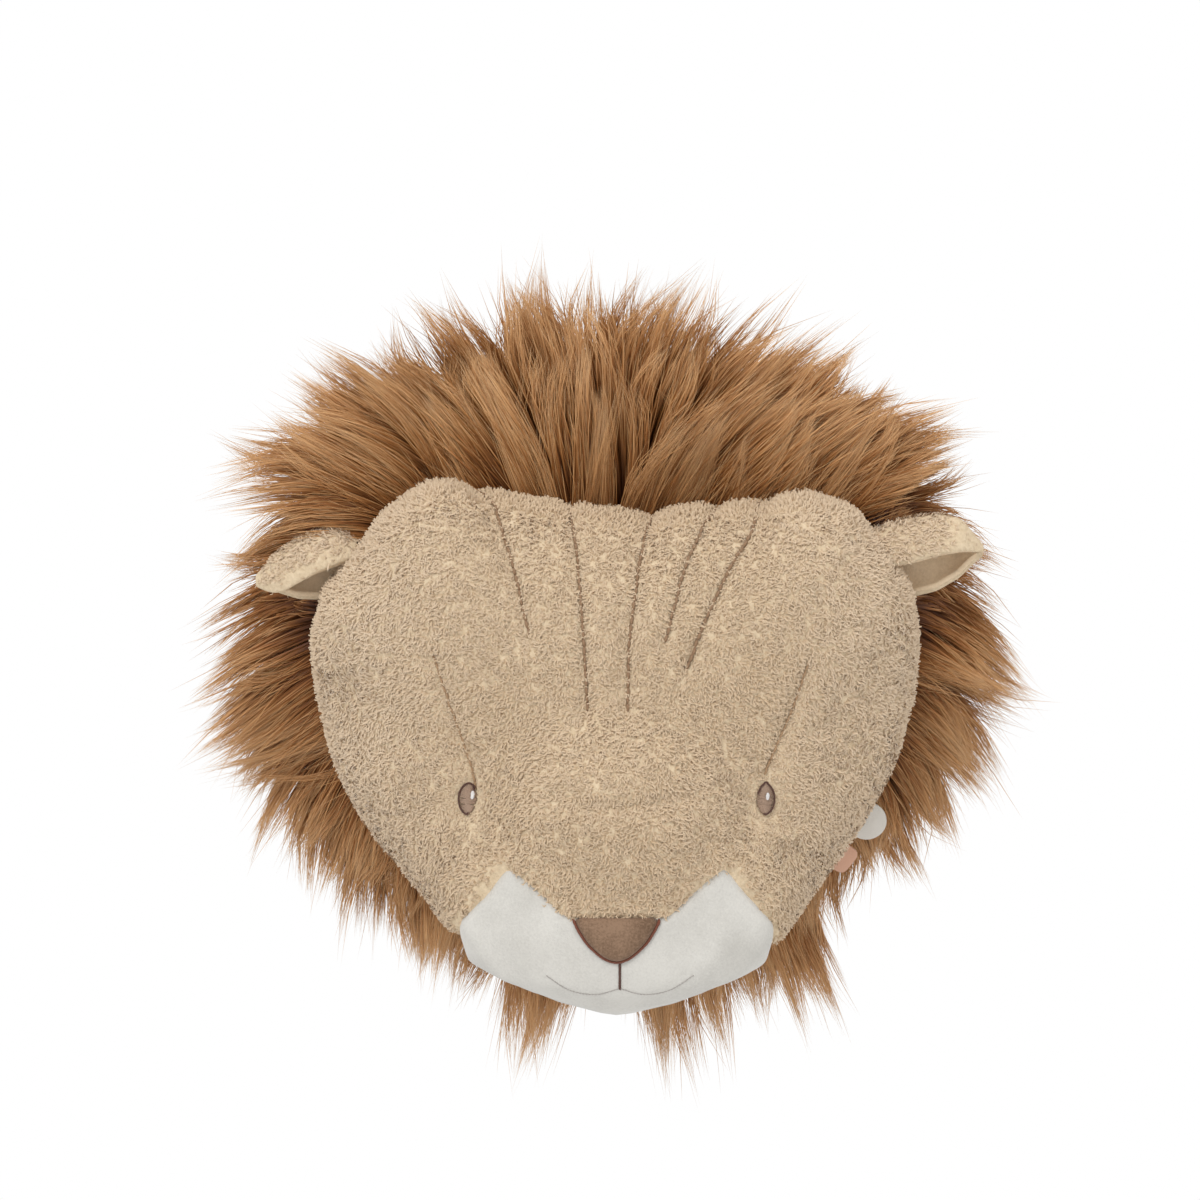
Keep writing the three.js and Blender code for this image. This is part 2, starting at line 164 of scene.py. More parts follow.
class Wire:
    """A node's output. Python's operators carry it on through Math and Vector Math nodes."""

    def __init__(self, tree, socket):
        self.tree = tree
        self.socket = socket

    def _join(self, operation, first, second):
        vectors = [is_vector(first), is_vector(second)]
        if not any(vectors):
            return self.tree.node("ShaderNodeMath", {"operation": operation}, {0: first, 1: second})
        if operation == "MULTIPLY" and not all(vectors):
            vector, number = (first, second) if vectors[0] else (second, first)
            sockets = {0: vector, "Scale": number}
            return self.tree.node("ShaderNodeVectorMath", {"operation": "SCALE"}, sockets)
        return self.tree.node("ShaderNodeVectorMath", {"operation": operation}, {0: first, 1: second})

    def __add__(self, other):
        return self._join("ADD", self, other)

    def __radd__(self, other):
        return self._join("ADD", other, self)

    def __sub__(self, other):
        return self._join("SUBTRACT", self, other)

    def __rsub__(self, other):
        return self._join("SUBTRACT", other, self)

    def __mul__(self, other):
        return self._join("MULTIPLY", self, other)

    def __rmul__(self, other):
        return self._join("MULTIPLY", other, self)

    def __pow__(self, other):
        return self._join("POWER", self, other)


def is_vector(value):
    if isinstance(value, Wire):
        return value.socket.type in ("VECTOR", "RGBA")
    return isinstance(value, (tuple, Vector))


class Tree:
    """A node tree under construction."""

    def __init__(self, tree):
        self.tree = tree

    def node(self, kind, settings=None, sockets=None, output=0):
        """Adds a node: its settings first, then the values or wires of its sockets, by name or number."""
        made = self.tree.nodes.new(kind)
        for name, value in (settings or {}).items():
            if name == "stops":
                set_stops(made.color_ramp, value)
            else:
                setattr(made, name, value)
        for key, value in (sockets or {}).items():
            if isinstance(value, Wire):
                self.tree.links.new(value.socket, made.inputs[key])
            elif value is not None:
                made.inputs[key].default_value = value
        return Wire(self, made.outputs[output]) if made.outputs else made

    def beside(self, wire, output):
        """Another output of the node that a wire comes from."""
        return Wire(self, wire.socket.node.outputs[output])

    def mixed(self, share, first, second):
        """Between two colours."""
        return self.node("ShaderNodeMix", {"data_type": "RGBA"}, {0: share, 6: first, 7: second}, 2)

    def between(self, share, first, second):
        """Between two vectors."""
        return self.node("ShaderNodeMix", {"data_type": "VECTOR"}, {0: share, 4: first, 5: second}, 1)


def set_stops(ramp, stops):
    """stops are (place, colour) pairs, and each colour has four numbers."""
    while len(ramp.elements) < len(stops):
        ramp.elements.new(1.0)
    for element, (place, colour) in zip(ramp.elements, stops):
        element.position = place
        element.color = colour


def sRGB(red, green, blue):
    """A colour as it is seen on a screen, 0 to 255, turned into light."""
    def light(value):
        share = value / 255.0
        return share / 12.92 if share <= 0.04045 else ((share + 0.055) / 1.055) ** 2.4
    return (light(red), light(green), light(blue), 1.0)


class Finish(Tree):
    """A material with one Principled shader. steady holds what is the same all over the surface."""

    def __init__(self, name, roughness=0.9, **steady):
        self.material = bpy.data.materials.new(name)
        self.material.use_nodes = True
        super().__init__(self.material.node_tree)
        self.shader = self.tree.nodes["Principled BSDF"]
        self.shader.inputs["Roughness"].default_value = roughness
        for name, value in steady.items():
            self.shader.inputs[name.replace("_", " ").title().replace("Ior", "IOR")].default_value = value

    def noise(self, scale, detail=3.0, rough=0.55, where=None, output=0):
        sockets = {"Scale": scale, "Detail": detail, "Roughness": rough, "Vector": where or self.place()}
        return self.node("ShaderNodeTexNoise", {}, sockets, output)

    def place(self):
        return self.node("ShaderNodeTexCoord", {}, {}, "Object")

    def ramp(self, factor, *stops):
        return self.node("ShaderNodeValToRGB", {"stops": stops}, {0: factor})

    def colour(self, wire):
        self.tree.links.new(wire.socket, self.shader.inputs["Base Color"])

    def bump(self, height, distance, strength=1.0):
        sockets = {"Height": height, "Distance": distance, "Strength": strength}
        wire = self.node("ShaderNodeBump", {}, sockets)
        self.tree.links.new(wire.socket, self.shader.inputs["Normal"])


# Materials

BAKE_MAP = "OFBake"


def strand_finish(name, along_stops, dark, light, **steady):
    """Fur or pile: coloured from root to tip along the map's V, and from dark to light along its U."""
    finish = Finish(name, **steady)
    place = finish.node("ShaderNodeUVMap", {"uv_map": BAKE_MAP})
    tone = finish.node("ShaderNodeSeparateXYZ", {}, {0: place}, "X")
    along = finish.beside(tone, "Y")
    colour = finish.ramp(along, *along_stops)
    shade = finish.ramp(tone, (0.0, dark), (1.0, light))
    finish.colour(finish.node("ShaderNodeMix", {"data_type": "RGBA", "blend_type": "MULTIPLY"},
                              {0: 1.0, 6: colour, 7: shade}, 2))
    return finish.material


def fur_finish():
    # Darker towards the root: partly the fur's own darker base, partly painted shade deep in the mane.
    stops = (
        (0.0, sRGB(72, 38, 17)),
        (0.3, sRGB(112, 66, 31)),
        (0.6, sRGB(182, 124, 70)),
        (0.84, sRGB(234, 186, 132)),
        (1.0, sRGB(246, 214, 172)),
    )
    return strand_finish("caramel_fur", stops, (0.56, 0.47, 0.38, 1.0), (1.0, 1.0, 1.0, 1.0),
                         roughness=0.5, specular_ior_level=0.25)


def pile_finish():
    # Darker towards the root: painted shade down between the tufts.
    stops = (
        (0.0, sRGB(204, 180, 151)),
        (0.45, sRGB(222, 200, 173)),
        (1.0, sRGB(237, 218, 194)),
    )
    return strand_finish("plush_pile", stops, (0.8, 0.75, 0.67, 1.0), (0.98, 0.98, 0.98, 1.0),
                         roughness=0.85, specular_ior_level=0.2, sheen_weight=0.3, sheen_roughness=0.4)


def plush_ground():
    """The knitted ground that the pile stands in."""
    finish = Finish("plush_ground", roughness=0.95, specular_ior_level=0.15)
    grain = finish.noise(520.0, 4.0, 0.6)
    colour = finish.ramp(grain, (0.3, sRGB(206, 184, 152)), (0.7, sRGB(228, 208, 178)))
    finish.colour(colour)
    finish.bump(grain, 0.0012, 0.8)
    return finish.material


def velour(name, deep, high, nap=900.0):
    """Short smooth nap that shades in soft patches where it was brushed."""
    finish = Finish(name, roughness=0.92, specular_ior_level=0.2,
                    sheen_weight=0.25, sheen_roughness=0.4)
    brushed = finish.noise(38.0, 3.0, 0.5)
    fine = finish.noise(nap, 4.0, 0.65)
    shade = finish.node("ShaderNodeMapRange", {}, {"Value": brushed * 0.55 + fine * 0.45, 1: 0.36, 2: 0.6})
    finish.colour(finish.mixed(shade, deep, high))
    finish.bump(fine, 0.0004, 0.7)
    return finish.material


def thread(name, deep, high, twist=2600.0):
    """Twisted embroidery thread with a soft shine."""
    finish = Finish(name, roughness=0.5, specular_ior_level=0.45, sheen_weight=0.1)
    wave = finish.node("ShaderNodeTexWave", {"bands_direction": "DIAGONAL"},
                       {"Vector": finish.place(), "Scale": twist, "Distortion": 1.5, "Detail": 1.0})
    finish.colour(finish.mixed(wave, deep, high))
    finish.bump(wave, 0.00012, 0.6)
    return finish.material


def felt(name, deep, high, sheen=0.2):
    """Pressed fibres without a grain, with fine flecks."""
    finish = Finish(name, roughness=0.97, specular_ior_level=0.15, sheen_weight=sheen)
    cloud = finish.noise(60.0, 5.0, 0.6)
    fleck = finish.node("ShaderNodeTexVoronoi", {"feature": "F1"},
                        {"Vector": finish.place(), "Scale": 1400.0})
    shade = finish.node("ShaderNodeMapRange", {}, {"Value": cloud * 0.7 + fleck * 0.5, 1: 0.3, 2: 0.8})
    finish.colour(finish.mixed(shade, deep, high))
    finish.bump(shade, 0.0005, 0.8)
    return finish.material


def ribbon(name, deep, high, ribs=1500.0):
    """A woven tape with fine ribs both ways."""
    finish = Finish(name, roughness=0.6, specular_ior_level=0.35, sheen_weight=0.15)
    across, down = (
        finish.node("ShaderNodeTexWave", {"bands_direction": way}, {"Vector": finish.place(), "Scale": ribs})
        for way in ("X", "Z")
    )
    weave = across * down
    soil = finish.noise(90.0, 3.0, 0.5)
    finish.colour(finish.mixed(weave * 0.6 + soil * 0.4, deep, high))
    finish.bump(weave, 0.0002, 0.6)
    return finish.material


FUR = fur_finish()
PILE = pile_finish()
PLUSH = plush_ground()
# Dark brown: painted shade, standing for the shade deep in the mane where the backing shows between the fur.
MANE_BACKING_PAINTED_SHADE = felt("mane_backing", sRGB(60, 34, 18), sRGB(88, 54, 30), sheen=0.0)
MUZZLE_VELOUR = velour("muzzle_velour", sRGB(192, 189, 182), sRGB(210, 207, 200))
# Paler than the lining's own velour: painted light that makes up for the shade inside the ear's fold.
EAR_LINING_PAINTED_LIGHT = velour("ear_nap", sRGB(212, 187, 154), sRGB(232, 209, 178))
NOSE_NAP = velour("nose_velvet", sRGB(86, 64, 47), sRGB(144, 117, 95), 1000.0)
LINE_THREAD = thread("line_thread", sRGB(134, 103, 74), sRGB(170, 138, 106))
BROW_THREAD = thread("brow_thread", sRGB(160, 126, 92), sRGB(192, 158, 122))
EDGE_THREAD = thread("edge_thread", sRGB(70, 42, 32), sRGB(104, 68, 54))
NOSE_THREAD = thread("nose_thread", sRGB(94, 46, 28), sRGB(142, 82, 58))
IRIS_THREAD = thread("iris_thread", sRGB(146, 118, 98), sRGB(186, 158, 136))
WHITE_THREAD = thread("white_thread", sRGB(236, 232, 230), sRGB(252, 250, 248))
GREY_THREAD = thread("grey_thread", sRGB(164, 158, 152), sRGB(190, 184, 178))
BACKING = felt("backing_felt", sRGB(120, 104, 84), sRGB(150, 132, 108))
LABEL = ribbon("label_weave", sRGB(222, 216, 206), sRGB(244, 240, 232))
TAPE = ribbon("peach_twill", sRGB(214, 164, 136), sRGB(236, 192, 166), 1100.0)


# Meshes

def add_mesh(name, mesh, material=None):
    made = bpy.data.objects.new(name, mesh)
    scene.collection.objects.link(made)
    if material:
        dress(mesh, material)
    return made


def dress(mesh, material):
    """Gives the whole mesh one material."""
    mesh.materials.clear()
    mesh.materials.append(material)
    mesh.polygons.foreach_set("material_index", np.zeros(len(mesh.polygons), int))


def evaluated(thing):
    """What a thing's modifiers make of it, as a plain mesh."""
    graph = bpy.context.evaluated_depsgraph_get()
    graph.update()
    return bpy.data.meshes.new_from_object(thing.evaluated_get(graph), depsgraph=graph)


def applied(thing):
    """The same thing with its modifiers worked into its mesh."""
    mesh = evaluated(thing)
    thing.modifiers.clear()
    old = thing.data
    thing.data = mesh
    bpy.data.meshes.remove(old)
    return thing


def points_of(mesh):
    """The mesh's points, as rows of three numbers."""
    points = np.empty(len(mesh.vertices) * 3)
    mesh.vertices.foreach_get("co", points)
    return points.reshape(-1, 3)


def normals_of(mesh):
    """The normal at each of the mesh's points."""
    normals = np.empty(len(mesh.vertices) * 3)
    mesh.vertices.foreach_get("normal", normals)
    return normals.reshape(-1, 3)


def move_points(mesh, points):
    mesh.vertices.foreach_set("co", np.ascontiguousarray(points, float).ravel())
    mesh.update()


def smooth_shading(mesh):
    mesh.polygons.foreach_set("use_smooth", np.ones(len(mesh.polygons), bool))


def set_attribute(mesh, name, values):
    """A number or a vector for each vertex."""
    values = np.asarray(values, float)
    kind, field = ("FLOAT", "value") if values.ndim == 1 else ("FLOAT_VECTOR", "vector")
    attribute = mesh.attributes.new(name, kind, "POINT")
    attribute.data.foreach_set(field, values.ravel())


def mesh_of(work, name):
    """What was built up in a bmesh, which is freed."""
    mesh = bpy.data.meshes.new(name)
    work.to_mesh(mesh)
    work.free()
    return mesh


def turn_out(mesh):
    """Turns the faces of a closed mesh outwards."""
    work = bmesh.new()
    work.from_mesh(mesh)
    bmesh.ops.recalc_face_normals(work, faces=work.faces)
    work.to_mesh(mesh)
    work.free()


def bridge(work, outer, inner):
    """Faces between two rings of points, of which one may be a single point."""
    for k in range(max(len(outer), len(inner))):
        corners = [outer[k % len(outer)], outer[(k + 1) % len(outer)],
                   inner[(k + 1) % len(inner)], inner[k % len(inner)]]
        work.faces.new(list(dict.fromkeys(corners)))


def merged_copy(nodes, name, spread=0.0):
    """CAD solids as one mesh with their doubles merged, and each skin moved out by spread."""
    whole = bmesh.new()
    for node in nodes:
        own = bmesh.new()
        own.from_mesh(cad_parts[node].data)
        bmesh.ops.remove_doubles(own, verts=own.verts, dist=1e-6)
        own.normal_update()
        for vertex in own.verts:
            vertex.co += vertex.normal * spread
        copy = mesh_of(own, "copy")
        whole.from_mesh(copy)
        bpy.data.meshes.remove(copy)
    return mesh_of(whole, name)


def relaxed(mesh, rounds, steps=(0.5, -0.53)):
    """Evens out facets and keeps the size: each round moves a point to its neighbours and then back."""
    edges = np.empty(len(mesh.edges) * 2, np.int32)
    mesh.edges.foreach_get("vertices", edges)
    start, end = edges.reshape(-1, 2).T
    points = points_of(mesh)
    count = len(points)
    shared = np.bincount(edges, minlength=count)[:, None]
    for _ in range(rounds):
        for step in steps:
            near = [
                np.bincount(start, points[end, axis], count)
                + np.bincount(end, points[start, axis], count)
                for axis in range(3)
            ]
            points += step * (np.stack(near, axis=1) / shared - points)
    move_points(mesh, points)


CLOTH_FRAMES = 20
CLOTH_PRESSURE = 4.0


def stuffed(name, nodes, material, voxel, swell, held, rounds=16, spread=0.0003, finer=1):
    """A padded cover over CAD solids: one skin, swollen as cloth and then smoothed once.

    held gives, for an array of points, which of them are sewn down and stay.
    """
    cover = add_mesh(name, merged_copy(nodes, name, spread))
    remesh = cover.modifiers.new("weave", "REMESH")
    remesh.mode = "VOXEL"
    remesh.voxel_size = voxel
    applied(cover)
    relaxed(cover.data, rounds)
    start = points_of(cover.data)
    swollen = blown_up(cover, held(start))
    step = swollen - start
    length = np.linalg.norm(step, axis=1, keepdims=True)
    step *= np.minimum(1.0, swell / np.maximum(length, 1e-9))
    move_points(cover.data, start + step)
    relaxed(cover.data, 1)
    if finer:
        split = cover.modifiers.new("finer", "SUBSURF")
        split.levels = split.render_levels = finer
        applied(cover)
    smooth_shading(cover.data)
    dress(cover.data, material)
    return cover


def blown_up(cover, sewn):
    """Where the cover's points come to rest under cloth pressure."""
    group = cover.vertex_groups.new(name="sewn")
    group.add([int(i) for i in np.flatnonzero(sewn)], 1.0, "REPLACE")
    cloth = cover.modifiers.new("cloth", "CLOTH")
    settings = cloth.settings
    settings.use_pressure = True
    settings.uniform_pressure_force = CLOTH_PRESSURE
    settings.vertex_group_mass = "sewn"
    settings.effector_weights.gravity = 0.0
    settings.quality = 4
    cloth.point_cache.frame_start = 1
    cloth.point_cache.frame_end = CLOTH_FRAMES
    for step in range(1, CLOTH_FRAMES + 1):
        scene.frame_set(step)
    mesh = evaluated(cover)
    points = points_of(mesh)
    bpy.data.meshes.remove(mesh)
    cover.modifiers.clear()
    cover.vertex_groups.clear()
    scene.frame_set(1)
    return points


def tree_over(thing):
    """For finding places on a thing's skin."""
    mesh = thing.data
    return BVHTree.FromPolygons([v.co for v in mesh.vertices], [p.vertices[:] for p in mesh.polygons])


TO_WALL = Vector((0.0, 1.0, 0.0))
DOWN = Vector((0.0, 0.0, -1.0))


def on_skin(skin, x, z):
    """The place and normal where a line from the front meets the skin, or nearly does at its rim."""
    place, normal, _, _ = skin.ray_cast(Vector((x, -1.0, z)), TO_WALL)
    if place is None:
        place, normal, _, _ = skin.find_nearest(Vector((x, -SEAM_DEPTH - RIM_DEPTH, z)))
    return place, normal


def laid_on(skin, points):
    """Points drawn from the front, laid on the skin: their places and the skin's normals."""
    hits = [on_skin(skin, x, z) for x, z in points]
    return np.array([hit[0] for hit in hits]), np.array([hit[1] for hit in hits])


def ride(thing, slot, *nodes):
    """Puts a finished piece in the object's one body, in place of the CAD nodes that it stands for."""
    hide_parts(*nodes)
    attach(thing, BODY)
    return thing


# Geometry node groups

class Growth(Tree):
    """A geometry node group with named inputs. It ends in Realize Instances and Set Material."""

    def __init__(self, name, inputs):
        group = bpy.data.node_groups.new(name, "GeometryNodeTree")
        super().__init__(group)
        group.interface.new_socket("Geometry", in_out="INPUT", socket_type="NodeSocketGeometry")
        self.names = {}
        for title, kind in inputs.items():
            socket = group.interface.new_socket(title, in_out="INPUT", socket_type="NodeSocket" + kind)
            self.names[title] = socket.identifier
        group.interface.new_socket("Geometry", in_out="OUTPUT", socket_type="NodeSocketGeometry")
        self.entry = group.nodes.new("NodeGroupInput")

    def given(self, title):
        return Wire(self, self.entry.outputs[title])

    def named(self, name, kind="FLOAT_VECTOR"):
        return self.node("GeometryNodeInputNamedAttribute", {"data_type": kind}, {"Name": name})

    def chance(self, low, high, salt):
        """A number between low and high that differs from point to point."""
        sockets = {2: low, 3: high, "Seed": self.given("Seed") + salt}
        return self.node("FunctionNodeRandomValue", {"data_type": "FLOAT"}, sockets, 1)

    def chance_vector(self, size, salt):
        """A vector whose parts lie between -size and size, and which differs from point to point."""
        sockets = {0: (-size,) * 3, 1: (size,) * 3, "Seed": self.given("Seed") + salt}
        return self.node("FunctionNodeRandomValue", {"data_type": "FLOAT_VECTOR"}, sockets)

    def keep(self, geometry, name, value, kind="FLOAT", domain="POINT"):
        settings = {"data_type": kind, "domain": domain}
        sockets = {"Geometry": geometry, "Name": name, "Value": value}
        return self.node("GeometryNodeStoreNamedAttribute", settings, sockets)

    def unit(self, vector):
        return self.node("ShaderNodeVectorMath", {"operation": "NORMALIZE"}, {0: vector})

    def cross(self, first, second):
        return self.node("ShaderNodeVectorMath", {"operation": "CROSS_PRODUCT"}, {0: first, 1: second})

    def sine(self, value):
        return self.node("ShaderNodeMath", {"operation": "SINE"}, {0: value})

    def cosine(self, value):
        return self.node("ShaderNodeMath", {"operation": "COSINE"}, {0: value})

    def strewn(self):
        """Points all over the ground, as dense as its cover says there."""
        return self.node("GeometryNodeDistributePointsOnFaces", {"distribute_method": "RANDOM"}, {
            "Mesh": self.given("Geometry"), "Density": self.given("Density") * self.named("cover", "FLOAT"),
            "Seed": self.given("Seed"),
        })

    def planted(self, points, shape, **placing):
        """A copy of a given object on each point, as geometry of its own."""
        source = self.node("GeometryNodeObjectInfo", {}, {"Object": self.given(shape)}, "Geometry")
        sockets = {"Points": points, "Instance": source, **placing}
        copies = self.node("GeometryNodeInstanceOnPoints", {}, sockets)
        return self.node("GeometryNodeRealizeInstances", {}, {"Geometry": copies})

    def end(self, geometry):
        sockets = {"Geometry": geometry, "Material": self.given("Material")}
        dressed = self.node("GeometryNodeSetMaterial", {}, sockets)
        leave = self.tree.nodes.new("NodeGroupOutput")
        self.tree.links.new(dressed.socket, leave.inputs[0])
        return self


def grown(name, growth, ground, values):
    """What a geometry node group grows on a ground, as a plain mesh of its own."""
    modifier = ground.modifiers.new("grow", "NODES")
    modifier.node_group = growth.tree
    for title, value in values.items():
        modifier[growth.names[title]] = value
    mesh = evaluated(ground)
    ground.modifiers.remove(modifier)
    mesh.name = name
    return add_mesh(name, mesh, values["Material"])


def strand_shape(name, steps):
    """A flat tapering strand. Each point knows how far along and on which side it lies."""
    rows = [(step / steps, side) for step in range(steps) for side in (-1.0, 1.0)] + [(1.0, 0.0)]
    faces = [(2 * i, 2 * i + 1, 2 * i + 3, 2 * i + 2) for i in range(steps - 1)]
    faces.append((2 * steps - 2, 2 * steps - 1, 2 * steps))
    mesh = bpy.data.meshes.new(name)
    mesh.from_pydata([(side, along, 0.0) for along, side in rows], [], faces)
    set_attribute(mesh, "along", [along for along, _ in rows])
    set_attribute(mesh, "side", [side for _, side in rows])
    smooth_shading(mesh)
    return add_mesh(name, mesh)


def combed(tree, strands, place, along, side):
    """Moves the strands' points to their places, and ends the tree.

    Each strand's tone and the way along it become the map that its colours are read from.
    """
    moved = tree.node("GeometryNodeSetPosition", {}, {"Geometry": strands, "Position": place})
    across = 0.02 + tree.named("tone", "FLOAT") * 0.93 + (side + 1.0) * 0.012
    spot = tree.node("ShaderNodeCombineXYZ", {}, {0: across, 1: along * 0.98 + 0.01})
    return tree.end(tree.keep(moved, BAKE_MAP, spot, "FLOAT2", "CORNER"))


def pile_growth():
    """Short curly tufts that lie over in all directions, a little more along the nap."""
    tree = Growth("curly_pile", {
        "Tuft": "Object", "Density": "Float", "Length": "Float", "Width": "Float", "Swirl": "Float",
        "Seed": "Int", "Material": "Material",
    })
    points = tree.strewn()
    normal = tree.beside(points, "Normal")
    swirl = tree.node("ShaderNodeTexNoise", {}, {"Scale": tree.given("Swirl"), "Detail": 1.0}, "Color")
    swirl = (swirl - (0.5, 0.5, 0.5)) * 5.0
    nap = tree.named("nap") + swirl + tree.chance_vector(0.45, 1)
    lie = tree.unit(tree.cross(tree.cross(normal, nap), normal))
    points = tree.keep(points, "root", tree.node("GeometryNodeInputPosition"), "FLOAT_VECTOR")
    points = tree.keep(points, "up", normal, "FLOAT_VECTOR")
    points = tree.keep(points, "lie", lie, "FLOAT_VECTOR")
    points = tree.keep(points, "reach", tree.chance(0.7, 1.15, 2) * tree.named("length", "FLOAT"))
    points = tree.keep(points, "curl", tree.chance(-1.0, 1.0, 3))
    points = tree.keep(points, "stand", tree.chance(0.2, 0.6, 4) + tree.named("raise", "FLOAT"))
    patch = tree.node("ShaderNodeTexNoise", {}, {"Scale": tree.given("Swirl") * 1.3, "Detail": 2.0})
    tone = tree.chance(0.0, 0.25, 5) + tree.named("shade", "FLOAT") * 0.5 + (patch - 0.35) * 0.7
    points = tree.keep(points, "tone", tone)
    tufts = tree.planted(points, "Tuft")

    along = tree.named("along", "FLOAT")
    side = tree.named("side", "FLOAT")
    up = tree.named("up")
    lie = tree.named("lie")
    across = tree.cross(lie, up)
    length = tree.given("Length") * tree.named("reach", "FLOAT")
    stand = tree.named("stand", "FLOAT")
    rise = up * (length * stand * tree.sine(along * 2.1))
    run = lie * (length * along * (1.25 - stand))
    bend = tree.sine(along * 3.4) * tree.named("curl", "FLOAT") * length * 0.32
    width = tree.given("Width") * 0.5 * (1.0 - along * along * 0.85) * side
    place = tree.named("root") + rise + run + across * (bend + width)
    return combed(tree, tufts, place, along, side)


def fur_growth():
    """Long strands that draw together into tufts, and the tufts into pointed locks.

    A path is a root, a middle and a tip: the strand's own, its tuft's and its lock's.
    """
    tree = Growth("long_fur", {
        "Strand": "Object", "Tufts": "Object", "Locks": "Object", "Density": "Float", "Width": "Float",
        "Tuft pull": "Float", "Lock pull": "Float", "Frizz": "Float", "Seed": "Int", "Material": "Material",
    })
    here = tree.node("GeometryNodeInputPosition")
    points = tree.keep(tree.strewn(), "own_root", here, "FLOAT_VECTOR")
    points = tree.keep(points, "own_middle", tree.named("middle"), "FLOAT_VECTOR")
    points = tree.keep(points, "own_tip", tree.named("tip"), "FLOAT_VECTOR")
    for guide, source in (("tuft", "Tufts"), ("lock", "Locks")):
        shape = tree.node("GeometryNodeObjectInfo", {}, {"Object": tree.given(source)}, "Geometry")
        nearest = tree.node("GeometryNodeSampleNearest", {}, {"Geometry": shape, "Sample Position": here})
        for part, value, kind in (
            ("root", here, "FLOAT_VECTOR"),
            ("middle", tree.named("middle"), "FLOAT_VECTOR"),
            ("tip", tree.named("tip"), "FLOAT_VECTOR"),
            ("tone", tree.named("tone", "FLOAT"), "FLOAT"),
        ):
            found = tree.node("GeometryNodeSampleIndex", {"data_type": kind},
                              {"Geometry": shape, "Value": value, "Index": nearest})
            points = tree.keep(points, f"{guide}_{part}", found, kind)
    wisp = tree.chance(0.0, 1.0, 7) ** 12.0
    points = tree.keep(points, "reach", tree.chance(0.55, 1.0, 2) + wisp * 0.2)
    points = tree.keep(points, "loose", tree.chance(0.0, 1.0, 3) ** 4.0 * 0.9)
    points = tree.keep(points, "held", (1.0 - tree.named("loose", "FLOAT")) * tree.named("hold", "FLOAT"))
    points = tree.keep(points, "girth", tree.chance(0.55, 1.25, 8))
    points = tree.keep(points, "turn", tree.chance(-0.9, 0.9, 4))
    points = tree.keep(points, "stray", tree.chance_vector(1.0, 5), "FLOAT_VECTOR")
    tone = tree.chance(0.0, 0.48, 6)
    tone = tone + tree.named("lock_tone", "FLOAT") * 0.27 + tree.named("tuft_tone", "FLOAT") * 0.25
    # The ground's shade darkens each strand's tone: painted shade, darker at the sides and below than on
    # top.
    points = tree.keep(points, "tone", tone * tree.named("shade", "FLOAT"))
    strands = tree.planted(points, "Strand")

    along = tree.named("along", "FLOAT")
    side = tree.named("side", "FLOAT")
    run = along * tree.named("reach", "FLOAT")

    def path(who):
        bow = run * (1.0 - run) * 2.0
        bent = tree.named(who + "_root") + tree.named(who + "_middle") * bow
        return bent + tree.named(who + "_tip") * (run * run)

    def heading(who):
        return tree.named(who + "_middle") * (1.0 - run * 2.0) + tree.named(who + "_tip") * run

    held = tree.named("held", "FLOAT")
    to_tuft = run * tree.given("Tuft pull") * held
    to_lock = run * run * tree.given("Lock pull") * held
    centre = tree.between(to_lock, tree.between(to_tuft, path("own"), path("tuft")), path("lock"))
    forward = tree.unit(tree.between(to_lock, heading("own"), heading("lock")))
    wild = run * run * tree.given("Frizz") * (0.35 + tree.named("loose", "FLOAT") * 2.5)
    frizz = tree.named("stray") * wild
    outward = tree.unit(tree.cross(tree.cross(forward, (0.0, -1.0, 0.35)), forward))
    across = tree.cross(forward, outward)
    turn = tree.named("turn", "FLOAT")
    flat = across * tree.cosine(turn) + outward * tree.sine(turn)
    width = tree.given("Width") * 0.5 * tree.named("girth", "FLOAT") * (1.0 - along * along * 0.85) * side
    place = centre + frizz + flat * width
    place = tree.node("ShaderNodeVectorMath", {"operation": "MINIMUM"},
                      {0: place, 1: (1.0, WALL_CLEAR, 1.0)})
    return combed(tree, strands, place, along, side)


def seam_growth():
    """Stitches along a path. The path's points know which way is up and how long each stitch is."""
    tree = Growth("stitches", {
        "Stitch": "Object", "Pitch": "Float", "Thickness": "Float", "Slant": "Float", "Seed": "Int",
        "Material": "Material",
    })
    line = tree.node("GeometryNodeMeshToCurve", {}, {"Mesh": tree.given("Geometry")})
    marks = tree.node("GeometryNodeResampleCurve", {"mode": "LENGTH"},
                      {"Curve": line, "Length": tree.given("Pitch")})
    up = tree.named("up")
    tangent = tree.node("GeometryNodeInputTangent")
    across = tree.cross(up, tangent)
    slant = tree.given("Slant") + tree.chance(-0.08, 0.08, 1)
    along = tree.unit(tangent * tree.cosine(slant) + across * tree.sine(slant))
    turn = tree.node("FunctionNodeAxesToRotation", {"primary_axis": "X", "secondary_axis": "Z"},
                     {0: along, 1: up})
    thick = tree.given("Thickness")
    size = tree.node("ShaderNodeCombineXYZ", {}, {
        0: tree.named("span", "FLOAT") * tree.chance(0.94, 1.06, 2), 1: thick, 2: thick * 0.8,
    })
    return tree.end(tree.planted(marks, "Stitch", Rotation=turn, Scale=size))


# Places on the face

def share_point(x, z):
    """A place seen from the front, given as shares of the head across and up from its middle."""
    return (x * HEAD_WIDTH, HEAD_MIDDLE + z * HEAD_HEIGHT)


